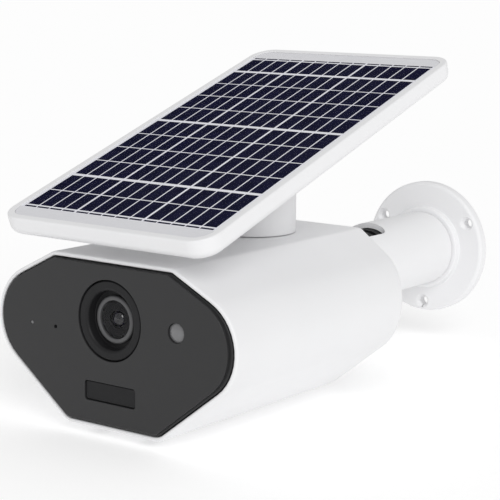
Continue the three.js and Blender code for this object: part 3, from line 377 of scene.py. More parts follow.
def piece(name, bm, body, slot, nodes=(), smooth=35, weighted=True, look=None):
    """Finishes a bmesh as a piece that rides on a body and stands for CAD nodes."""
    bmesh.ops.scale(bm, vec=(MM, MM, MM), verts=bm.verts)
    data = bpy.data.meshes.new(name)
    bm.to_mesh(data)
    bm.free()
    data.shade_smooth()
    data.set_sharp_from_angle(angle=math.radians(smooth))
    obj = bpy.data.objects.new(name, data)
    bpy.context.scene.collection.objects.link(obj)
    data.materials.append(MATERIALS[look or slot])
    if weighted:
        modifier = obj.modifiers.new("normals", "WEIGHTED_NORMAL")
        modifier.keep_sharp = True
        modifier.weight = 80
    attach(obj, body)
    if nodes:
        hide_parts(*nodes)
    return obj


# ------------------------------------------------------------------ materials


def add(tree, kind, **inputs):
    """A shader node with its inputs set, each to a value or to another node's socket."""
    node = tree.nodes.new(kind)
    for name, value in inputs.items():
        socket = node.inputs[name.replace("_", " ")]
        if isinstance(value, bpy.types.NodeSocket):
            tree.links.new(value, socket)
        else:
            socket.default_value = value
    return node


def noise(tree, size, detail=3.0, stretch=(1, 1, 1)):
    """Noise whose features are about that many millimetres across."""
    place = add(tree, "ShaderNodeTexCoord").outputs["Object"]
    mapping = add(tree, "ShaderNodeMapping", Vector=place, Scale=stretch)
    made = add(tree, "ShaderNodeTexNoise", Vector=mapping.outputs[0], Scale=1 / (size * MM),
               Detail=detail)
    return made.outputs["Fac"]


def between(tree, factor, low, high, start=0.3, end=0.7):
    """A number that follows a factor from low to high."""
    node = tree.nodes.new("ShaderNodeMapRange")
    tree.links.new(factor, node.inputs["Value"])
    for name, value in (("From Min", start), ("From Max", end), ("To Min", low), ("To Max", high)):
        node.inputs[name].default_value = value
    return node.outputs["Result"]


def tinted(tree, factor, first, second):
    """A colour that follows a factor from the first to the second, each a colour or a socket."""
    node = tree.nodes.new("ShaderNodeMix")
    node.data_type = "RGBA"
    tree.links.new(factor, node.inputs["Factor"])
    for socket, colour in ((node.inputs[6], first), (node.inputs[7], second)):
        if isinstance(colour, tuple):
            socket.default_value = (*colour, 1)
        else:
            tree.links.new(colour, socket)
    return node.outputs[2]


def bumped(tree, height, strength, depth):
    """A bump whose height stands for that many millimetres."""
    return add(tree, "ShaderNodeBump", Height=height, Strength=strength,
               Distance=depth * MM).outputs["Normal"]


def start_material(name):
    material = bpy.data.materials.new(name)
    material.use_nodes = True
    tree = material.node_tree
    shader = tree.nodes["Principled BSDF"]
    return material, tree, shader


def moulded(name, colour, roughness, grain=0.35, depth=0.02, drift=0.03, **sockets):
    """Moulded plastic or rubber: fine grain, uneven gloss and a slight drift of its colour."""
    material, tree, shader = start_material(name)
    broad = noise(tree, 28, 4)
    fine = noise(tree, grain, 2)
    darker = tuple(c * (1 - drift) for c in colour)
    tree.links.new(tinted(tree, broad, darker, colour), shader.inputs["Base Color"])
    cloudy = between(tree, noise(tree, 6, 5), roughness * 0.92, roughness * 1.1)
    tree.links.new(cloudy, shader.inputs["Roughness"])
    tree.links.new(bumped(tree, fine, 0.35, depth), shader.inputs["Normal"])
    for socket, value in sockets.items():
        shader.inputs[socket.replace("_", " ")].default_value = value
    return material


def metal(name, colour, roughness, stretch=(1, 14, 1)):
    """Machined metal with fine marks from the tool."""
    material, tree, shader = start_material(name)
    marks = noise(tree, 1.2, 6, stretch)
    tree.links.new(tinted(tree, marks, tuple(c * 0.85 for c in colour), colour),
                   shader.inputs["Base Color"])
    tree.links.new(between(tree, marks, roughness * 0.8, roughness * 1.3), shader.inputs["Roughness"])
    tree.links.new(bumped(tree, marks, 0.25, 0.01), shader.inputs["Normal"])
    shader.inputs["Metallic"].default_value = 1.0
    return material


CELL_GRAIN = 3.2
CELL_DRIFT = 70  # how far apart the cells' broad changes of tone are


def silicon():
    """Polycrystalline cells under laminate: navy grains crossed by very faint fingers."""
    material, tree, shader = start_material("silicon")
    place = add(tree, "ShaderNodeTexCoord").outputs["Object"]
    grains = add(tree, "ShaderNodeTexVoronoi", Vector=place, Scale=1 / (CELL_GRAIN * MM))
    grains.feature = "F1"
    shade = add(tree, "ShaderNodeSeparateColor", Color=grains.outputs["Color"]).outputs[0]
    drift = noise(tree, CELL_DRIFT, 2)
    dark = tinted(tree, drift, (0.006, 0.006, 0.024), (0.012, 0.013, 0.030))
    light = tinted(tree, drift, (0.009, 0.008, 0.036), (0.017, 0.018, 0.042))
    crystal = tinted(tree, shade, dark, light)
    fingers = add(tree, "ShaderNodeTexWave", Vector=place, Scale=0.32 / MM, Distortion=0.0)
    fingers.bands_direction = "X"
    line = between(tree, fingers.outputs["Fac"], 0, 0.10, 0.90, 1.0)
    tree.links.new(tinted(tree, line, crystal, (0.05, 0.05, 0.085)), shader.inputs["Base Color"])
    tree.links.new(between(tree, shade, 0.22, 0.34, 0, 1), shader.inputs["Roughness"])
    shader.inputs["Specular IOR Level"].default_value = 0.0
    return material


def clear(name, tint, alpha, roughness, specular):
    """Clear cover glass, seen mostly by what it mirrors."""
    material, tree, shader = start_material(name)
    shader.inputs["Base Color"].default_value = (*tint, 1)
    shader.inputs["Alpha"].default_value = alpha
    smear = between(tree, noise(tree, 18, 4), roughness * 0.7, roughness * 1.5)
    tree.links.new(smear, shader.inputs["Roughness"])
    shader.inputs["Specular IOR Level"].default_value = specular
    return material


def coated_lens_painted_sheen():
    """A near black coated lens whose colour turns lighter and violet towards its rim, where it is seen at a slant:
    a painted sheen.
    """
    material, tree, shader = start_material("coated_lens_painted_sheen")
    # painted sheen: the base colour lightens to violet as the surface turns away from the view
    facing = add(tree, "ShaderNodeLayerWeight", Blend=0.35).outputs["Facing"]
    tree.links.new(tinted(tree, facing, (0.006, 0.006, 0.011), (0.03, 0.026, 0.045)),
                   shader.inputs["Base Color"])
    tree.links.new(between(tree, noise(tree, 4, 3), 0.03, 0.06), shader.inputs["Roughness"])
    shader.inputs["IOR"].default_value = 1.8
    shader.inputs["Coat Weight"].default_value = 1.0
    shader.inputs["Coat Roughness"].default_value = 0.03
    return material


MATERIALS = {
    "white_shell": moulded("white_shell", (0.86, 0.86, 0.87), 0.42, Specular_IOR_Level=0.45),
    "front_dark": moulded("front_dark", (0.028, 0.028, 0.029), 0.38, 0.25, 0.006,
                          Specular_IOR_Level=0.3),
    "lens_trim": moulded("lens_trim", (0.014, 0.014, 0.015), 0.5, 0.3, 0.01, Specular_IOR_Level=0.2),
    "barrel_grey": moulded("barrel_grey", (0.085, 0.085, 0.088), 0.45, 0.3, 0.01),
    "sensor_grey": moulded("sensor_grey", (0.16, 0.16, 0.165), 0.25, 0.6, 0.004, Coat_Weight=0.3),
    "black_plastic": moulded("black_plastic", (0.012, 0.012, 0.013), 0.45, 0.3, 0.015,
                             Specular_IOR_Level=0.2),
    "black_rubber": moulded("black_rubber", (0.010, 0.010, 0.010), 0.75, 0.25, 0.03),
    "steel": metal("steel", (0.62, 0.62, 0.64), 0.3),
    "brass": metal("brass", (0.6, 0.46, 0.2), 0.34),
    "lens_glass": clear("lens_glass", (0.004, 0.004, 0.006), 0.2, 0.03, 0.3),
    "coated_lens_painted_sheen": coated_lens_painted_sheen(),
    "panel_glass": clear("panel_glass", (0.02, 0.022, 0.03), 0.03, 0.12, 0.04),
    "cell": silicon(),
    "backsheet": moulded("backsheet", (0.84, 0.84, 0.87), 0.5, 0.5, 0.01, Specular_IOR_Level=0.2),
    "grid_white": moulded("grid_white", (0.93, 0.93, 0.985), 0.5, 0.5, 0.005, Specular_IOR_Level=0.2),
    "board": moulded("board", (0.02, 0.13, 0.05), 0.45, 0.8, 0.02, 0.15),
    "battery": moulded("battery", (0.03, 0.12, 0.36), 0.3, 0.8, 0.005),
}


def dress_frame():
    """Gives every CAD node its slot's material, for those that no piece stands for."""
    for subpart in frame["record"]["subparts"]:
        node = frame["nodes"][subpart["node"]]
        node.data.materials.clear()
        node.data.materials.append(MATERIALS[subpart["material_slot"]])


# ------------------------------------------------------------------ wall bracket


def wall_flange():
    bore = SPIGOT_RADIUS + 0.4
    outer = FLANGE_RADIUS
    collar = NECK_RADIUS + COLLAR_WIDTH
    profile = rounded_path([
        (bore, -3.4, 0), (15.6, -3.4, 0), (15.6, 0, 0.3), (outer, 0, 0.4),
        (outer, -FLANGE_THICKNESS, FLANGE_ROUND), (collar + 0.3, -FLANGE_THICKNESS, 0.9),
        (collar, -FLANGE_THICKNESS - COLLAR_HEIGHT, 1.2), (bore, -FLANGE_THICKNESS - COLLAR_HEIGHT, 0),
    ], 6)
    holes = []
    for i in range(3):
        angle = math.pi / 6 + i * 2 * math.pi / 3
        hole = turned([
            (0, 1), (WALL_SCREW_HOLE, 1), (WALL_SCREW_HOLE, COUNTERSINK_DEPTH - FLANGE_THICKNESS),
            (COUNTERSINK, -FLANGE_THICKNESS), (COUNTERSINK, -FLANGE_THICKNESS - 1),
            (0, -FLANGE_THICKNESS - 1),
        ])
        place = (WALL_SCREW_CIRCLE * math.cos(angle), 0, WALL_SCREW_CIRCLE * math.sin(angle))
        holes.append(moved(hole, place))
    body = cut(turned(profile, FINE), *holes)

    def near_hole(point):
        return math.hypot(point.x, point.z) > SPIGOT_RADIUS + 10

    softened(body, 0.25, near_hole, 30)
    piece("flange", body, "wall_mount", "white_shell", ["wall_flange"])


def neck():
    seat_angle = math.degrees(math.acos(SEAT_MOUTH / NECK_BORE))
    seat = arc(0, BALL.y, NECK_BORE, -seat_angle, 0, 12)
    profile = rounded_path([
        (NECK_BORE, NECK_BACK_Y, 0), (NECK_RADIUS, NECK_BACK_Y, 0.3),
        (NECK_RADIUS, NECK_FRONT_Y, 0.9), (NECK_RADIUS - NECK_LIP_WALL, NECK_FRONT_Y, 0.4),
        (SEAT_MOUTH, BALL.y - NECK_BORE * math.sin(math.radians(seat_angle)), 0),
    ], 5, closed=False) + seat[1:]
    length = NOTCH_BEHIND_PIVOT + NECK_LIP + 2 * NOTCH_CORNER
    centre = BALL.y + NOTCH_BEHIND_PIVOT - length / 2

    def notch_outline(outset):
        points = rounded_rectangle(NOTCH_HALF_WIDTH, length / 2, NOTCH_CORNER, outset, 10)
        return [(x, y + centre) for x, y in points]

    notch = raised(notch_outline, 2, NECK_RADIUS + 4)
    screw_hole = upright(rod(2.8, -24, -14), (0, BALL.y, 0))
    sleeve = cut(turned(profile, FINE), notch, screw_hole)

    def at_notch(point):
        return point.z > 0 and abs(point.x) < NOTCH_HALF_WIDTH + 0.5

    softened(sleeve, 0.45, at_notch, 38, 3)
    piece("sleeve", sleeve, "neck", "white_shell", ["neck_sleeve"])

    screw = upright(turned(rounded_path([
        (0, -17, 0), (2.5, -17, 0.3), (2.5, -22.2, 0.4), (1.5, -22.2, 0), (1.5, -19.7, 0),
        (0, -19.7, 0),
    ], 3), 36), (0, BALL.y, 0))
    piece("ball_screw", screw, "neck", "steel", ["ball_lock_screw"])

    plug_front = NECK_BACK_Y - 14
    plug = turned(rounded_path([
        (3, plug_front, 0), (NECK_BORE - GAP, plug_front, 0.4), (NECK_BORE - GAP, NECK_BACK_Y, 0.3),
        (SPIGOT_RADIUS, NECK_BACK_Y, 0), (SPIGOT_RADIUS, -3.7, 0.4), (3, -3.7, 0),
    ], 4), FINE)
    piece("end_plug", plug, "neck", "steel", ["neck_end_plug"])
    washer_front = -3.1
    screw = turned(rounded_path([
        (0, plug_front + 2, 0), (2.7, plug_front + 2, 0.3), (2.7, washer_front, 0),
        (SPIGOT_RADIUS + 3, washer_front, 0.3), (SPIGOT_RADIUS + 3, washer_front + 1.2, 0.3),
        (5, washer_front + 1.2, 0), (4.3, -0.5, 0.7), (0, -0.5, 0),
    ], 4), FINE)
    slots = [block((-3.2, -1.5, -0.45), (3.2, 0.5, 0.45)), block((-0.45, -1.5, -3.2), (0.45, 0.5, 3.2))]
    piece("swivel_screw", cut(screw, *slots), "neck", "steel", ["neck_retaining_screw"])


def ball_stud():
    washer_back = REAR_Y + GAP + 2
    nut_front = washer_back + GAP
    nut_back = nut_front + 6
    shoulder = nut_back + GAP
    start = math.degrees(math.asin(STEM_RADIUS / BALL_RADIUS))
    ball = arc(0, BALL.y, BALL_RADIUS, start - 90, 90, 40)
    ball[-1] = (0, BALL.y + BALL_RADIUS)
    profile = rounded_path([
        (0, REAR_Y - 16, 0), (3.2, REAR_Y - 16, 0), (4, REAR_Y - 15, 0), (4, shoulder, 0),
        (STEM_RADIUS, shoulder, 0.9), (STEM_RADIUS, ball[0][1] - 1.2, 0),
    ], 4, closed=False) + ball
    piece("stud", turned(profile, FINE), "stud", "black_plastic", ["ball_stud"])

    nut = turned(rounded_path([
        (4.3, nut_front, 0), (14, nut_front, 0.8), (14, nut_back, 0.8), (4.3, nut_back, 0.4),
    ], 4), FINE)
    grips = 12
    scallops = []
    for i in range(grips):
        angle = 2 * math.pi * i / grips
        place = (14.8 * math.cos(angle), 0, 14.8 * math.sin(angle))
        scallops.append(moved(rod(1.6, nut_front - 1, nut_back + 1, facets=24), place))
    nut = softened(cut(nut, merged(*scallops)), 0.2, angle=35)
    piece("lock_nut", nut, "stud", "steel", ["stud_lock_nut"])
    washer = turned(rounded_path([
        (4.3, REAR_Y + GAP, 0), (12, REAR_Y + GAP, 0.5), (12, washer_back, 0.5), (4.3, washer_back, 0),
    ], 4), FINE)
    piece("stud_seal", washer, "stud", "black_rubber", ["stud_washer"])


# ------------------------------------------------------------------ housing


def dome(x, z, inset=0.0):
    """The rear dome's Y at a place, its surface moved in by a distance."""
    centre = REAR_Y - DOME_RADIUS
    radius = DOME_RADIUS - inset
    return centre + math.sqrt(radius ** 2 - x ** 2 - (z - DOME_HEIGHT) ** 2)


def dome_rings(outset, edge, inset, steps=6, rings=14):
    """Rings from the body's side round its rear edge and in over the dome."""
    made = []
    for k in range(steps + 1):
        angle = math.pi / 2 * k / steps
        outline = body_outline(outset - edge * (1 - math.cos(angle)))
        made.append([(x, dome(x, z, inset) - edge * (1 - math.sin(angle)), z) for x, z in outline])
    last = body_outline(outset - edge)
    for k in range(1, rings + 1):
        s = 1 - k / (rings + 0.4)
        made.append([(x * s, dome(x * s, z * s, inset), z * s) for x, z in last])
    return made


def housing_shell():
    ledge = PLATE_Y + PLATE_THICKNESS + 1.6
    lip = rounded_path([(-1.2, ledge, 0), (GAP, ledge, 0), (GAP, LIP_Y, 0.7), (RIM, LIP_Y, 1.1),
                        (RIM, LIP_Y + 20, 0)], 6, closed=False)
    cavity = dome_rings(-1.2, 1.0, HOUSING_WALL, 2, 5)[::-1]
    front = [[(x, y, z) for x, z in body_outline(outset)] for outset, y in lip]
    body = loft(cavity + front + dome_rings(RIM, 2.4, 0.0))

    pocket = [-POCKET_HALF_WIDTH, POCKET_HALF_WIDTH]
    roof = HOUSING_BOTTOM + POCKET_DEPTH
    y0, y1 = COVER_PIN.y - 2 * POCKET_HALF_LENGTH + 1.2, COVER_PIN.y + 1.2
    w = POCKET_WALL
    body = joined(body, moved(rod(16, REAR_Y - 6, REAR_Y, 1.0, FINE)),
                  block((pocket[0], y0, HOUSING_BOTTOM + 1), (pocket[1], y1, roof + w)))
    seat = HOUSING_BOTTOM + COVER_THICKNESS + GAP
    tools = [
        block((pocket[0] + w, y0 + w, HOUSING_BOTTOM - 1), (pocket[1] - w, y1 - w, roof)),
        block((pocket[0], y0, HOUSING_BOTTOM - 1), (pocket[1], y1, seat)),
        upright(rod(SPIGOT_RADIUS + 0.4, 15, HOUSING_TOP + 2, facets=FINE), (0, POST_AXIS.y, 0)),
        rod(7, REAR_Y - 24, REAR_Y + 1),
    ]
    for node, room in (("usb_socket", 0.3), ("memory_card", 0.4), ("reset_button", -0.6)):
        low, high = box(node)
        tools.append(block((low.x - room, low.y - room, roof - 1), (high.x + room, high.y + room,
                                                                  roof + w + 1)))
    low, high = box("power_slider")
    tools.append(block((low.x + 1.3, low.y + 0.8, roof - 1), (high.x + 3.2, high.y - 0.8, roof + w + 1)))
    for side in (-1, 1):
        low, high = box("front_screw_right")
        x, y = side * (low.x + high.x) / 2, (low.y + high.y) / 2
        tools.append(upright(rod(3.3, HOUSING_BOTTOM - 1, HOUSING_BOTTOM + 1.9), (x, y, 0)))
        tools.append(upright(rod(1.8, HOUSING_BOTTOM - 1, HOUSING_BOTTOM + 7), (x, y, 0)))
    for i in range(7):
        ring, angle = (0 if i == 0 else 5), i * math.pi / 3
        place = (ring * math.cos(angle), 0, -28 + ring * math.sin(angle))
        tools.append(moved(rod(0.9, REAR_Y - 30, REAR_Y, facets=20), place))
    body = cut(body, *tools)
    piece("shell", body, "housing", "white_shell", ["housing_shell"], smooth=30)


def front_screws():
    for name in ("front_screw_left", "front_screw_right"):
        low, high = box(name)
        x, y = (low.x + high.x) / 2, (low.y + high.y) / 2
        head = upright(turned(rounded_path([
            (0, low.z, 0), (3, low.z, 0.6), (3, low.z + 1.4, 0.1), (1.5, low.z + 1.4, 0),
            (1.5, high.z, 0.2), (0, high.z, 0),
        ], 4)), (x, y, 0))
        slots = [block((x - 1.8, y - 0.4, low.z - 1), (x + 1.8, y + 0.4, low.z + 0.8)),
                 block((x - 0.4, y - 1.8, low.z - 1), (x + 0.4, y + 1.8, low.z + 0.8))]
        piece(name.replace("front_screw", "plate_screw"), cut(head, *slots), "housing", "steel", [name])


# ------------------------------------------------------------------ front plate and optics


def front_plate():
    back = PLATE_Y + PLATE_THICKNESS
    face = lambda outset: body_outline(outset, FACE_SCALE)
    slab = drawn(face, PLATE_Y, back - 1, 0.25)
    step = drawn(lambda outset: body_outline(outset - 0.25), PLATE_Y + FACE_DEPTH, back, 0.25)
    plate = joined(slab, step)
    window = lambda outset: [(x + PIR.x, z + PIR.z) for x, z in
                             rounded_rectangle(14.4, 4.35, 1.3, outset, 6)]
    through = (PLATE_Y - 1, back + 1)
    plate = cut(
        plate,
        moved(rod(LENS_BEZEL + GAP, *through, facets=FINE), (0, 0, LENS.z)),
        drawn(window, *through),
        moved(rod(4.3, *through), (LIGHT_SENSOR.x, 0, LIGHT_SENSOR.z)),
        moved(rod(0.9, *through, facets=24), (MICROPHONE.x, 0, MICROPHONE.z)),
        moved(rod(0.9, *through, facets=24), (LED.x, 0, LED.z)),
    )

    def at_opening(point):
        if point.y > PLATE_Y + 0.2:
            return False
        lens = math.hypot(point.x, point.z - LENS.z) < LENS_BEZEL + 2
        sensor = math.hypot(point.x - LIGHT_SENSOR.x, point.z - LIGHT_SENSOR.z) < 6
        window_edge = abs(point.x - PIR.x) < 16 and abs(point.z - PIR.z) < 6
        return lens or sensor or window_edge

    softened(plate, 0.22, at_opening)
    piece("front_face", plate, "housing", "front_dark", ["front_plate"], smooth=30)
    seal = loft([[(x, y, z) for x, z in body_outline(outset)] for outset, y in (
        (0.2, PLATE_Y + 3.2), (0.2, back + 1.2), (-2, back + 1.2), (-2, PLATE_Y + 3.2))], closed=True)
    piece("seal", seal, "housing", "black_rubber", ["front_gasket"])


def dome_lens(radius, edge, front, thickness, facets=FINE):
    """A lens whose front swells from its edge, at a depth, out to its front."""
    rise = edge - front
    curve = (radius ** 2 + rise ** 2) / (2 * rise)
    crown = arc(0, front + curve, curve, -math.degrees(math.acos(radius / curve)), -90, 14)
    crown[-1] = (0, front)
    return turned([(0, edge + thickness), (radius, edge + thickness)] + crown, facets)


def optics():
    rim = PLATE_Y
    place = (0, 0, LENS.z)
    throat = LENS_BARREL + GAP
    bezel = turned(rounded_path([
        (LENS_BEZEL - 0.6, rim + 0.3, 0.2), (LENS_BEZEL, rim + 1.3, 0.2), (LENS_BEZEL, rim + 8, 0),
        (throat, rim + 8, 0), (throat, rim + 5.4, 0), (BEZEL_MOUTH, rim + 5.4, 0.5),
        (BEZEL_MOUTH, rim + 0.3, 1.5),
    ], 6), FINE)
    piece("bezel", moved(bezel, place), "housing", "lens_trim", ["lens_bezel"], smooth=28)
    ring = rim + RING_DEPTH
    barrel = turned(rounded_path([
        (0, ring + 12, 0), (7, ring + 12, 0), (7, ring + 5, 0), (LENS_BARREL, ring + 5, 0),
        (LENS_BARREL, ring + 1.3, 0), (BARREL_RING, ring + 1.3, 0.3), (BARREL_RING, ring, 0.9),
        (BARREL_MOUTH, ring, 0.5), (BARREL_MOUTH - 0.3, ring + 4, 0), (0, ring + 4, 0),
    ], 5), FINE)
    piece("barrel", moved(barrel, place), "housing", "barrel_grey", ["lens_barrel"], smooth=28)

    stops = []
    count = 5
    for k in range(count):
        radius = BARREL_MOUTH - 0.4 - (BARREL_MOUTH - 0.4 - INNER_LENS) * k / count
        after = BARREL_MOUTH - 0.4 - (BARREL_MOUTH - 0.4 - INNER_LENS) * (k + 1) / count
        y = ring + 0.9 + (INNER_DEPTH - RING_DEPTH - 1.1) * k / count
        step = (INNER_DEPTH - RING_DEPTH - 1.1) / count
        stops += [(radius, y, 0), (after + 0.12, y + step * 0.35, 0.05), (after, y + step, 0)]
    throat_back = rim + INNER_DEPTH + 0.8
    cone = turned(rounded_path(stops + [
        (INNER_LENS, throat_back, 0), (BARREL_MOUTH - 0.4, throat_back, 0),
    ], 2), FINE)
    piece("lens_stops", moved(cone, place), "housing", "lens_trim", smooth=28)
    inner = dome_lens(INNER_DOME, rim + INNER_DEPTH + 0.4, rim + INNER_DEPTH - 1.3, 0.3)
    piece("inner_lens", moved(inner, place), "housing", "lens_glass", look="coated_lens_painted_sheen")
    front = dome_lens(BARREL_MOUTH - 0.5, ring + 0.8, ring + 0.1, 0.02)
    piece("front_lens", moved(front, place), "housing", "lens_glass", ["lens_glass"])


def front_sensors():
    window = lambda outset: [(x + PIR.x, z + PIR.z) for x, z in
                             rounded_rectangle(14.1, 4.05, 1.0, outset, 6)]
    piece("pir_face", drawn(window, PLATE_Y + 0.6, PLATE_Y + 4, 0.3), "housing", "black_plastic",
          ["pir_window"])
    eye = dome_lens(LIGHT_EYE, PLATE_Y + 1.0, PLATE_Y + 0.15, 2, 64)
    piece("light_eye", moved(eye, (LIGHT_SENSOR.x, 0, LIGHT_SENSOR.z)), "housing", "sensor_grey",
          ["light_sensor_lens"])
    lamp = turned(rounded_path([(0, PLATE_Y + 0.1, 0), (0.8, PLATE_Y + 0.1, 0.3),
                                (0.8, PLATE_Y + 7.3, 0), (0, PLATE_Y + 7.3, 0)], 5), 36)
    piece("status_lamp", moved(lamp, (LED.x, 0, LED.z)), "housing", "sensor_grey",
          ["status_led_lens"])


# ------------------------------------------------------------------ service pocket


def service_pieces():
    low, high = box("service_cover")
    half = POCKET_HALF_WIDTH - GAP
    back = COVER_PIN.y
    radius = COVER_THICKNESS / 2
    lid = block((-half, low.y, HOUSING_BOTTOM), (half, back, HOUSING_BOTTOM + COVER_THICKNESS))
    barrel = sideways(rod(radius, -half, half, 0.2, 32), (0, COVER_PIN.y, COVER_PIN.z))
    lid = joined(lid, barrel)
    grip = moved(rod(7, 0, 3, facets=64), (0, 0, 0), math.pi / 2)
    grip = moved(grip, (0, low.y + 7.5, HOUSING_BOTTOM + 0.5))
    bmesh.ops.translate(grip, verts=grip.verts, vec=(0, 0, -3))
    lid = softened(cut(lid, grip), 0.25, angle=45)
    pins = sideways(rod(0.5, low.x, high.x, 0.1, 20), (0, COVER_PIN.y, COVER_PIN.z))
    catch = block((-6, low.y + 1.5, HOUSING_BOTTOM + 1), (6, low.y + 1.9, HOUSING_BOTTOM + 5), 0.15)
    piece("pocket_cover", merged(lid, pins, catch), "cover", "white_shell", ["service_cover"])

    low, high = box("usb_socket")
    usb_outline = lambda outset: [(x + (low.x + high.x) / 2, y + (low.y + high.y) / 2) for x, y in
                                  rounded_rectangle((high.x - low.x) / 2, (high.y - low.y) / 2, 1.5,
                                                    outset, 6)]
    usb = cut(raised(usb_outline, low.z, high.z, 0.1),
              raised(lambda outset: usb_outline(outset - 0.5), low.z - 1, high.z - 1.5))
    middle = (low + high) / 2
    tongue = block((middle.x - 3.2, middle.y - 0.35, low.z + 0.8), (middle.x + 3.2, middle.y + 0.35,
                                                                high.z - 1), 0.1)
    piece("usb_port", merged(usb, tongue), "housing", "steel", ["usb_socket"])

    low, high = box("memory_card")
    card_outline = lambda outset: [(x + (low.x + high.x) / 2, y + (low.y + high.y) / 2) for x, y in
                                   rounded_rectangle((high.x - low.x) / 2, (high.y - low.y) / 2, 0.35,
                                                     outset, 3)]
    piece("card", raised(card_outline, low.z, high.z, 0.2), "card", "black_plastic", ["memory_card"])

    low, high = box("reset_button")
    middle = (low + high) / 2
    button = turned(rounded_path([
        (0, low.z + 0.25, 0), (1.2, low.z, 0.4), (2, low.z, 0.5), (2, high.z - 0.9, 0),
        (3, high.z - 0.9, 0), (3, high.z, 0.1), (0, high.z, 0),
    ], 4))
    piece("reset_key", upright(button, (middle.x, middle.y, 0)), "reset", "black_plastic",
          ["reset_button"])

    low, high = box("power_slider")
    flange_under = high.z - 1
    knob = block((low.x + 1.8, low.y + 1.3, low.z), (high.x - 1.8, high.y - 1.3, flange_under + 0.5),
                 0.25)
    foot = block((low.x, low.y, flange_under), (high.x, high.y, high.z), 0.1)
    ribs = [block((x, low.y + 1.0, low.z + 0.3), (x + 0.35, high.y - 1.0, low.z + 0.7))
            for x in (2.2, 3.0, 3.8)]
    piece("power_knob", merged(joined(knob, foot), *ribs), "power", "black_plastic",
          ["power_slider"])


# ------------------------------------------------------------------ post and tilt pin


def post():
    base = HOUSING_TOP + GAP
    nut_under = box("post_retaining_nut")[0].z - 1
    body = upright(turned(rounded_path([
        (6, nut_under, 0), (SPIGOT_RADIUS, nut_under, 0.3), (SPIGOT_RADIUS, base, 0),
        (POST_RADIUS, base, 0.35), (POST_RADIUS, POST_TOP, 0.9), (6, POST_TOP, 0.4),
    ], 5), FINE))
    slot = LUG_HALF_WIDTH + GAP
    reach = POST_RADIUS + 1
    tools = [block((-slot, -reach, TILT_PIN.z - LUG_RADIUS - 1.5), (slot, reach, POST_TOP + 1)),
             sideways(rod(3.1, -reach, reach), (0, 0, TILT_PIN.z))]
    for side in (-1, 1):
        low, high = sorted((side * (POST_RADIUS - 3.4), side * reach))
        tools.append(sideways(rod(PIN_HEAD + GAP, low, high, facets=64), (0, 0, TILT_PIN.z)))
    body = softened(cut(body, *tools), 0.3, lambda p: p.z > TILT_PIN.z - 9.5, 38)
    piece("post", moved(body, (0, POST_AXIS.y, 0)), "post", "white_shell", ["panel_post"])

    inner = POST_RADIUS - 3.1
    outer = POST_RADIUS - 1
    place = (0, POST_AXIS.y, TILT_PIN.z)
    bolt = turned(rounded_path([
        (0, -outer, 0), (2.8, -outer, 0.4), (2.8, inner, 0), (PIN_HEAD, inner, 0.1),
        (PIN_HEAD, outer, 0.7), (0, outer, 0),
    ], 4), 64)
    socket = turned([(0, outer - 1.3), (2.3, outer - 1.3), (2.3, outer + 1), (0, outer + 1)], 6)
    bolt = softened(cut(bolt, socket), 0.12, lambda p: p.y > outer - 0.1, 38)
    piece("pin_bolt", sideways(bolt, place), "post", "steel", ["tilt_bolt"])
    nut = turned(rounded_path([
        (3.1, -outer, 0.2), (4.8, -outer, 0), (4.8, -inner, 0), (3.1, -inner, 0),
    ], 3), 6)
    piece("pin_nut", sideways(softened(nut, 0.25, angle=35), place), "post", "steel", ["tilt_nut"])


# ------------------------------------------------------------------ solar panel

PANEL_PLACE = Matrix.Translation(TILT_PIN) @ Matrix.Rotation(PANEL_TILT, 4, "X")


def panel_outline(inset, steps=12):
    half_width, half_length = PANEL_WIDTH / 2, PANEL_LENGTH / 2
    points = rounded_rectangle(half_width, half_length, PANEL_CORNER, -inset, steps)
    return [(x, y + PANEL_CENTRE_Y) for x, y in points]


def panel_piece(name, bm, slot, nodes, **options):
    """Tilts what was made in the panel's own frame, whose origin is the pin, and finishes it."""
    bm.transform(PANEL_PLACE)
    return piece(name, bm, "panel", slot, nodes, **options)


def panel_frame():
    section = rounded_path([
        (PANEL_OPENING, PANEL_UNDER, 0.4), (0, PANEL_UNDER, PANEL_UNDER_ROUND),
        (0, PANEL_TOP, PANEL_TOP_ROUND), (PANEL_RIM, PANEL_TOP, 0.15), (PANEL_RIM, LAMINATE_UNDER - GAP, 0),
        (PANEL_OPENING, LAMINATE_UNDER - GAP, 0),
    ], 7)
    body = loft([[(x, y, z) for x, y in panel_outline(inset)] for inset, z in section], closed=True)
    panel_piece("rim", body, "white_shell", ["panel_frame"])


def back_cover():
    plate = raised(lambda outset: panel_outline(PANEL_OPENING + GAP - outset), PANEL_UNDER + 0.4,
                   PANEL_UNDER + 2.4, 0.3)
    lug = sideways(rod(LUG_RADIUS, -LUG_HALF_WIDTH, LUG_HALF_WIDTH, 0.5, FINE))
    web = block((-LUG_HALF_WIDTH, -LUG_RADIUS, 0), (LUG_HALF_WIDTH, LUG_RADIUS, PANEL_UNDER + 1.5))
    body = joined(plate, joined(lug, web))
    body = cut(body, sideways(rod(3.1, -LUG_HALF_WIDTH - 1, LUG_HALF_WIDTH + 1)))
    softened(body, 0.4, lambda p: p.z < PANEL_UNDER + 0.2 and p.z > -1, 50)
    panel_piece("back_plate", body, "white_shell", ["panel_back_cover"])


def laminate():
    outline = lambda outset: panel_outline(PANEL_RIM + 0.12 - outset)
    sheet = raised(outline, LAMINATE_UNDER, CELL_TOP - CELL_PROUD)
    panel_piece("sheet", sheet, "backsheet", ["panel_backsheet"])
    glass = raised(outline, GLASS_TOP - GLASS_THICKNESS, GLASS_TOP, 0.08)
    panel_piece("cover_glass", glass, "panel_glass", ["panel_glass"])


GRID_WIDTH = 106.4
GRID_LENGTH = 174.6
COLUMN_SHARES = (4, 5, 5)
ROW_SHARES = (2, 4, 4, 1)
COLUMN_GAP = 1.3
ROW_GAP = 2.1
STRIP_GAP = 0.75
GRID_BORDER = 1.8  # of bright ground past the cells' sides
DASH_GAP = 1.2  # between the outer strips and the dashes past them
DASH_LENGTH = 1.2


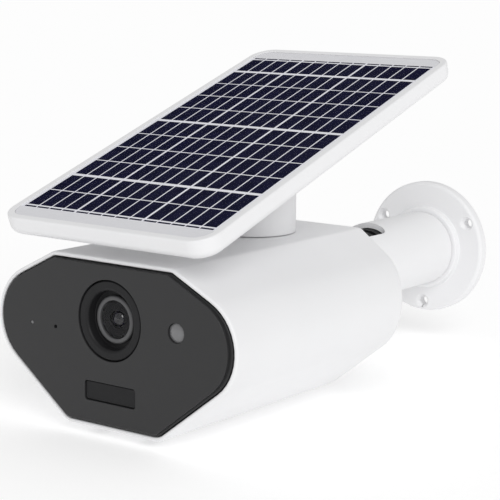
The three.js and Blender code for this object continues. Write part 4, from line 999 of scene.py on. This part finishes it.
def spans(width, shares, gap):
    """A width cut into equal strips, in groups of so many with wider gaps between the groups."""
    total = sum(shares)
    room = width - gap * (len(shares) - 1) - STRIP_GAP * (total - len(shares))
    strip = room / total
    start = -width / 2
    groups = []
    for share in shares:
        edges = [start + k * (strip + STRIP_GAP) for k in range(share)]
        groups.append([(edge, edge + strip) for edge in edges])
        start = groups[-1][-1][1] + gap
    return groups


def solar_cells():
    columns = spans(GRID_WIDTH, COLUMN_SHARES, COLUMN_GAP)
    rows = spans(GRID_LENGTH, ROW_SHARES, ROW_GAP)
    dash = GRID_LENGTH / 2 + DASH_GAP
    rows[0].append((-dash - DASH_LENGTH, -dash))
    rows[-1].append((dash, dash + DASH_LENGTH))
    half_width, half_length = GRID_WIDTH / 2 + GRID_BORDER, dash + DASH_LENGTH + 0.3
    ground = block((-half_width, PANEL_CENTRE_Y - half_length, CELL_TOP - 2 * CELL_PROUD),
                   (half_width, PANEL_CENTRE_Y + half_length, CELL_TOP - CELL_PROUD / 2))
    panel_piece("grid_ground", ground, "backsheet", [], look="grid_white")
    under = CELL_TOP - 3 * CELL_PROUD
    for r, row in enumerate(rows):
        for c, column in enumerate(columns):
            tiles = [block((x0, y0 + PANEL_CENTRE_Y, under), (x1, y1 + PANEL_CENTRE_Y, CELL_TOP))
                     for y0, y1 in row for x0, x1 in column]
            panel_piece(f"cells_{r + 1}_{c + 1}", merged(*tiles), "cell",
                        [f"solar_cell_{r + 1}_{c + 1}"], weighted=False)


# ------------------------------------------------------------------ camera and studio

VIEW_AZIMUTH = math.radians(37.04)
VIEW_ELEVATION = math.radians(9.80)
VIEW_ROLL = math.radians(0.454)
VIEW_POINT = Vector((47.9, -228.2, 32.9))  # a point in front of the lens, near the post
VIEW_DISTANCE = 690
VIEW_LENS = 117.55
KEY_DIRECTION = (0.66, -0.50, 0.55)  # towards the key light
KEY_SPREAD = 35  # degrees
KEY_STRENGTH = 1.2
SKY_STRENGTH = 0.57
FLOOR_GLOW = 0.36  # of its own, so that the floor reads as white


def take_picture():
    data = bpy.data.cameras.new("camera")
    data.lens = VIEW_LENS
    data.clip_end = 100
    camera = bpy.data.objects.new("camera", data)
    bpy.context.scene.collection.objects.link(camera)
    turn = (Matrix.Rotation(VIEW_AZIMUTH, 4, "Z")
            @ Matrix.Rotation(math.pi / 2 - VIEW_ELEVATION, 4, "X")
            @ Matrix.Rotation(VIEW_ROLL, 4, "Z"))
    back = turn.to_3x3() @ Vector((0, 0, VIEW_DISTANCE))
    camera.matrix_world = Matrix.Translation((VIEW_POINT + back) * MM) @ turn
    bpy.context.scene.camera = camera


def sun_light(name, towards, spread, strength):
    """A soft light from far away, the direction pointing towards it, its spread in degrees."""
    data = bpy.data.lights.new(name, "SUN")
    data.energy = strength
    data.angle = math.radians(spread)
    light = bpy.data.objects.new(name, data)
    bpy.context.scene.collection.objects.link(light)
    light.rotation_euler = Vector(towards).to_track_quat("Z", "Y").to_euler()


def studio():
    bm = bmesh.new()
    bmesh.ops.create_grid(bm, x_segments=4, y_segments=4, size=40)
    bmesh.ops.translate(bm, verts=bm.verts, vec=(0, 0, HOUSING_BOTTOM * MM - 0.004))
    data = bpy.data.meshes.new("floor")
    bm.to_mesh(data)
    bm.free()
    floor = bpy.data.objects.new("floor", data)
    bpy.context.scene.collection.objects.link(floor)
    paper = moulded("floor_paper", (0.8, 0.8, 0.8), 0.9, 1.0, 0.01, 0.01, Specular_IOR_Level=0.0)
    glow = paper.node_tree.nodes["Principled BSDF"].inputs
    glow["Emission Color"].default_value = (1, 1, 1, 1)
    glow["Emission Strength"].default_value = FLOOR_GLOW
    data.materials.append(paper)

    world = bpy.data.worlds.new("studio")
    world.use_nodes = True
    world.node_tree.nodes["Background"].inputs["Color"].default_value = (1, 1, 1, 1)
    world.node_tree.nodes["Background"].inputs["Strength"].default_value = SKY_STRENGTH
    bpy.context.scene.world = world
    bpy.context.scene.view_settings.view_transform = "Standard"
    sun_light("key_light", KEY_DIRECTION, KEY_SPREAD, KEY_STRENGTH)


# ------------------------------------------------------------------ the whole camera

dress_frame()
wall_flange()
neck()
ball_stud()
housing_shell()
front_screws()
front_plate()
optics()
front_sensors()
service_pieces()
post()
panel_frame()
back_cover()
laminate()
solar_cells()
take_picture()
studio()
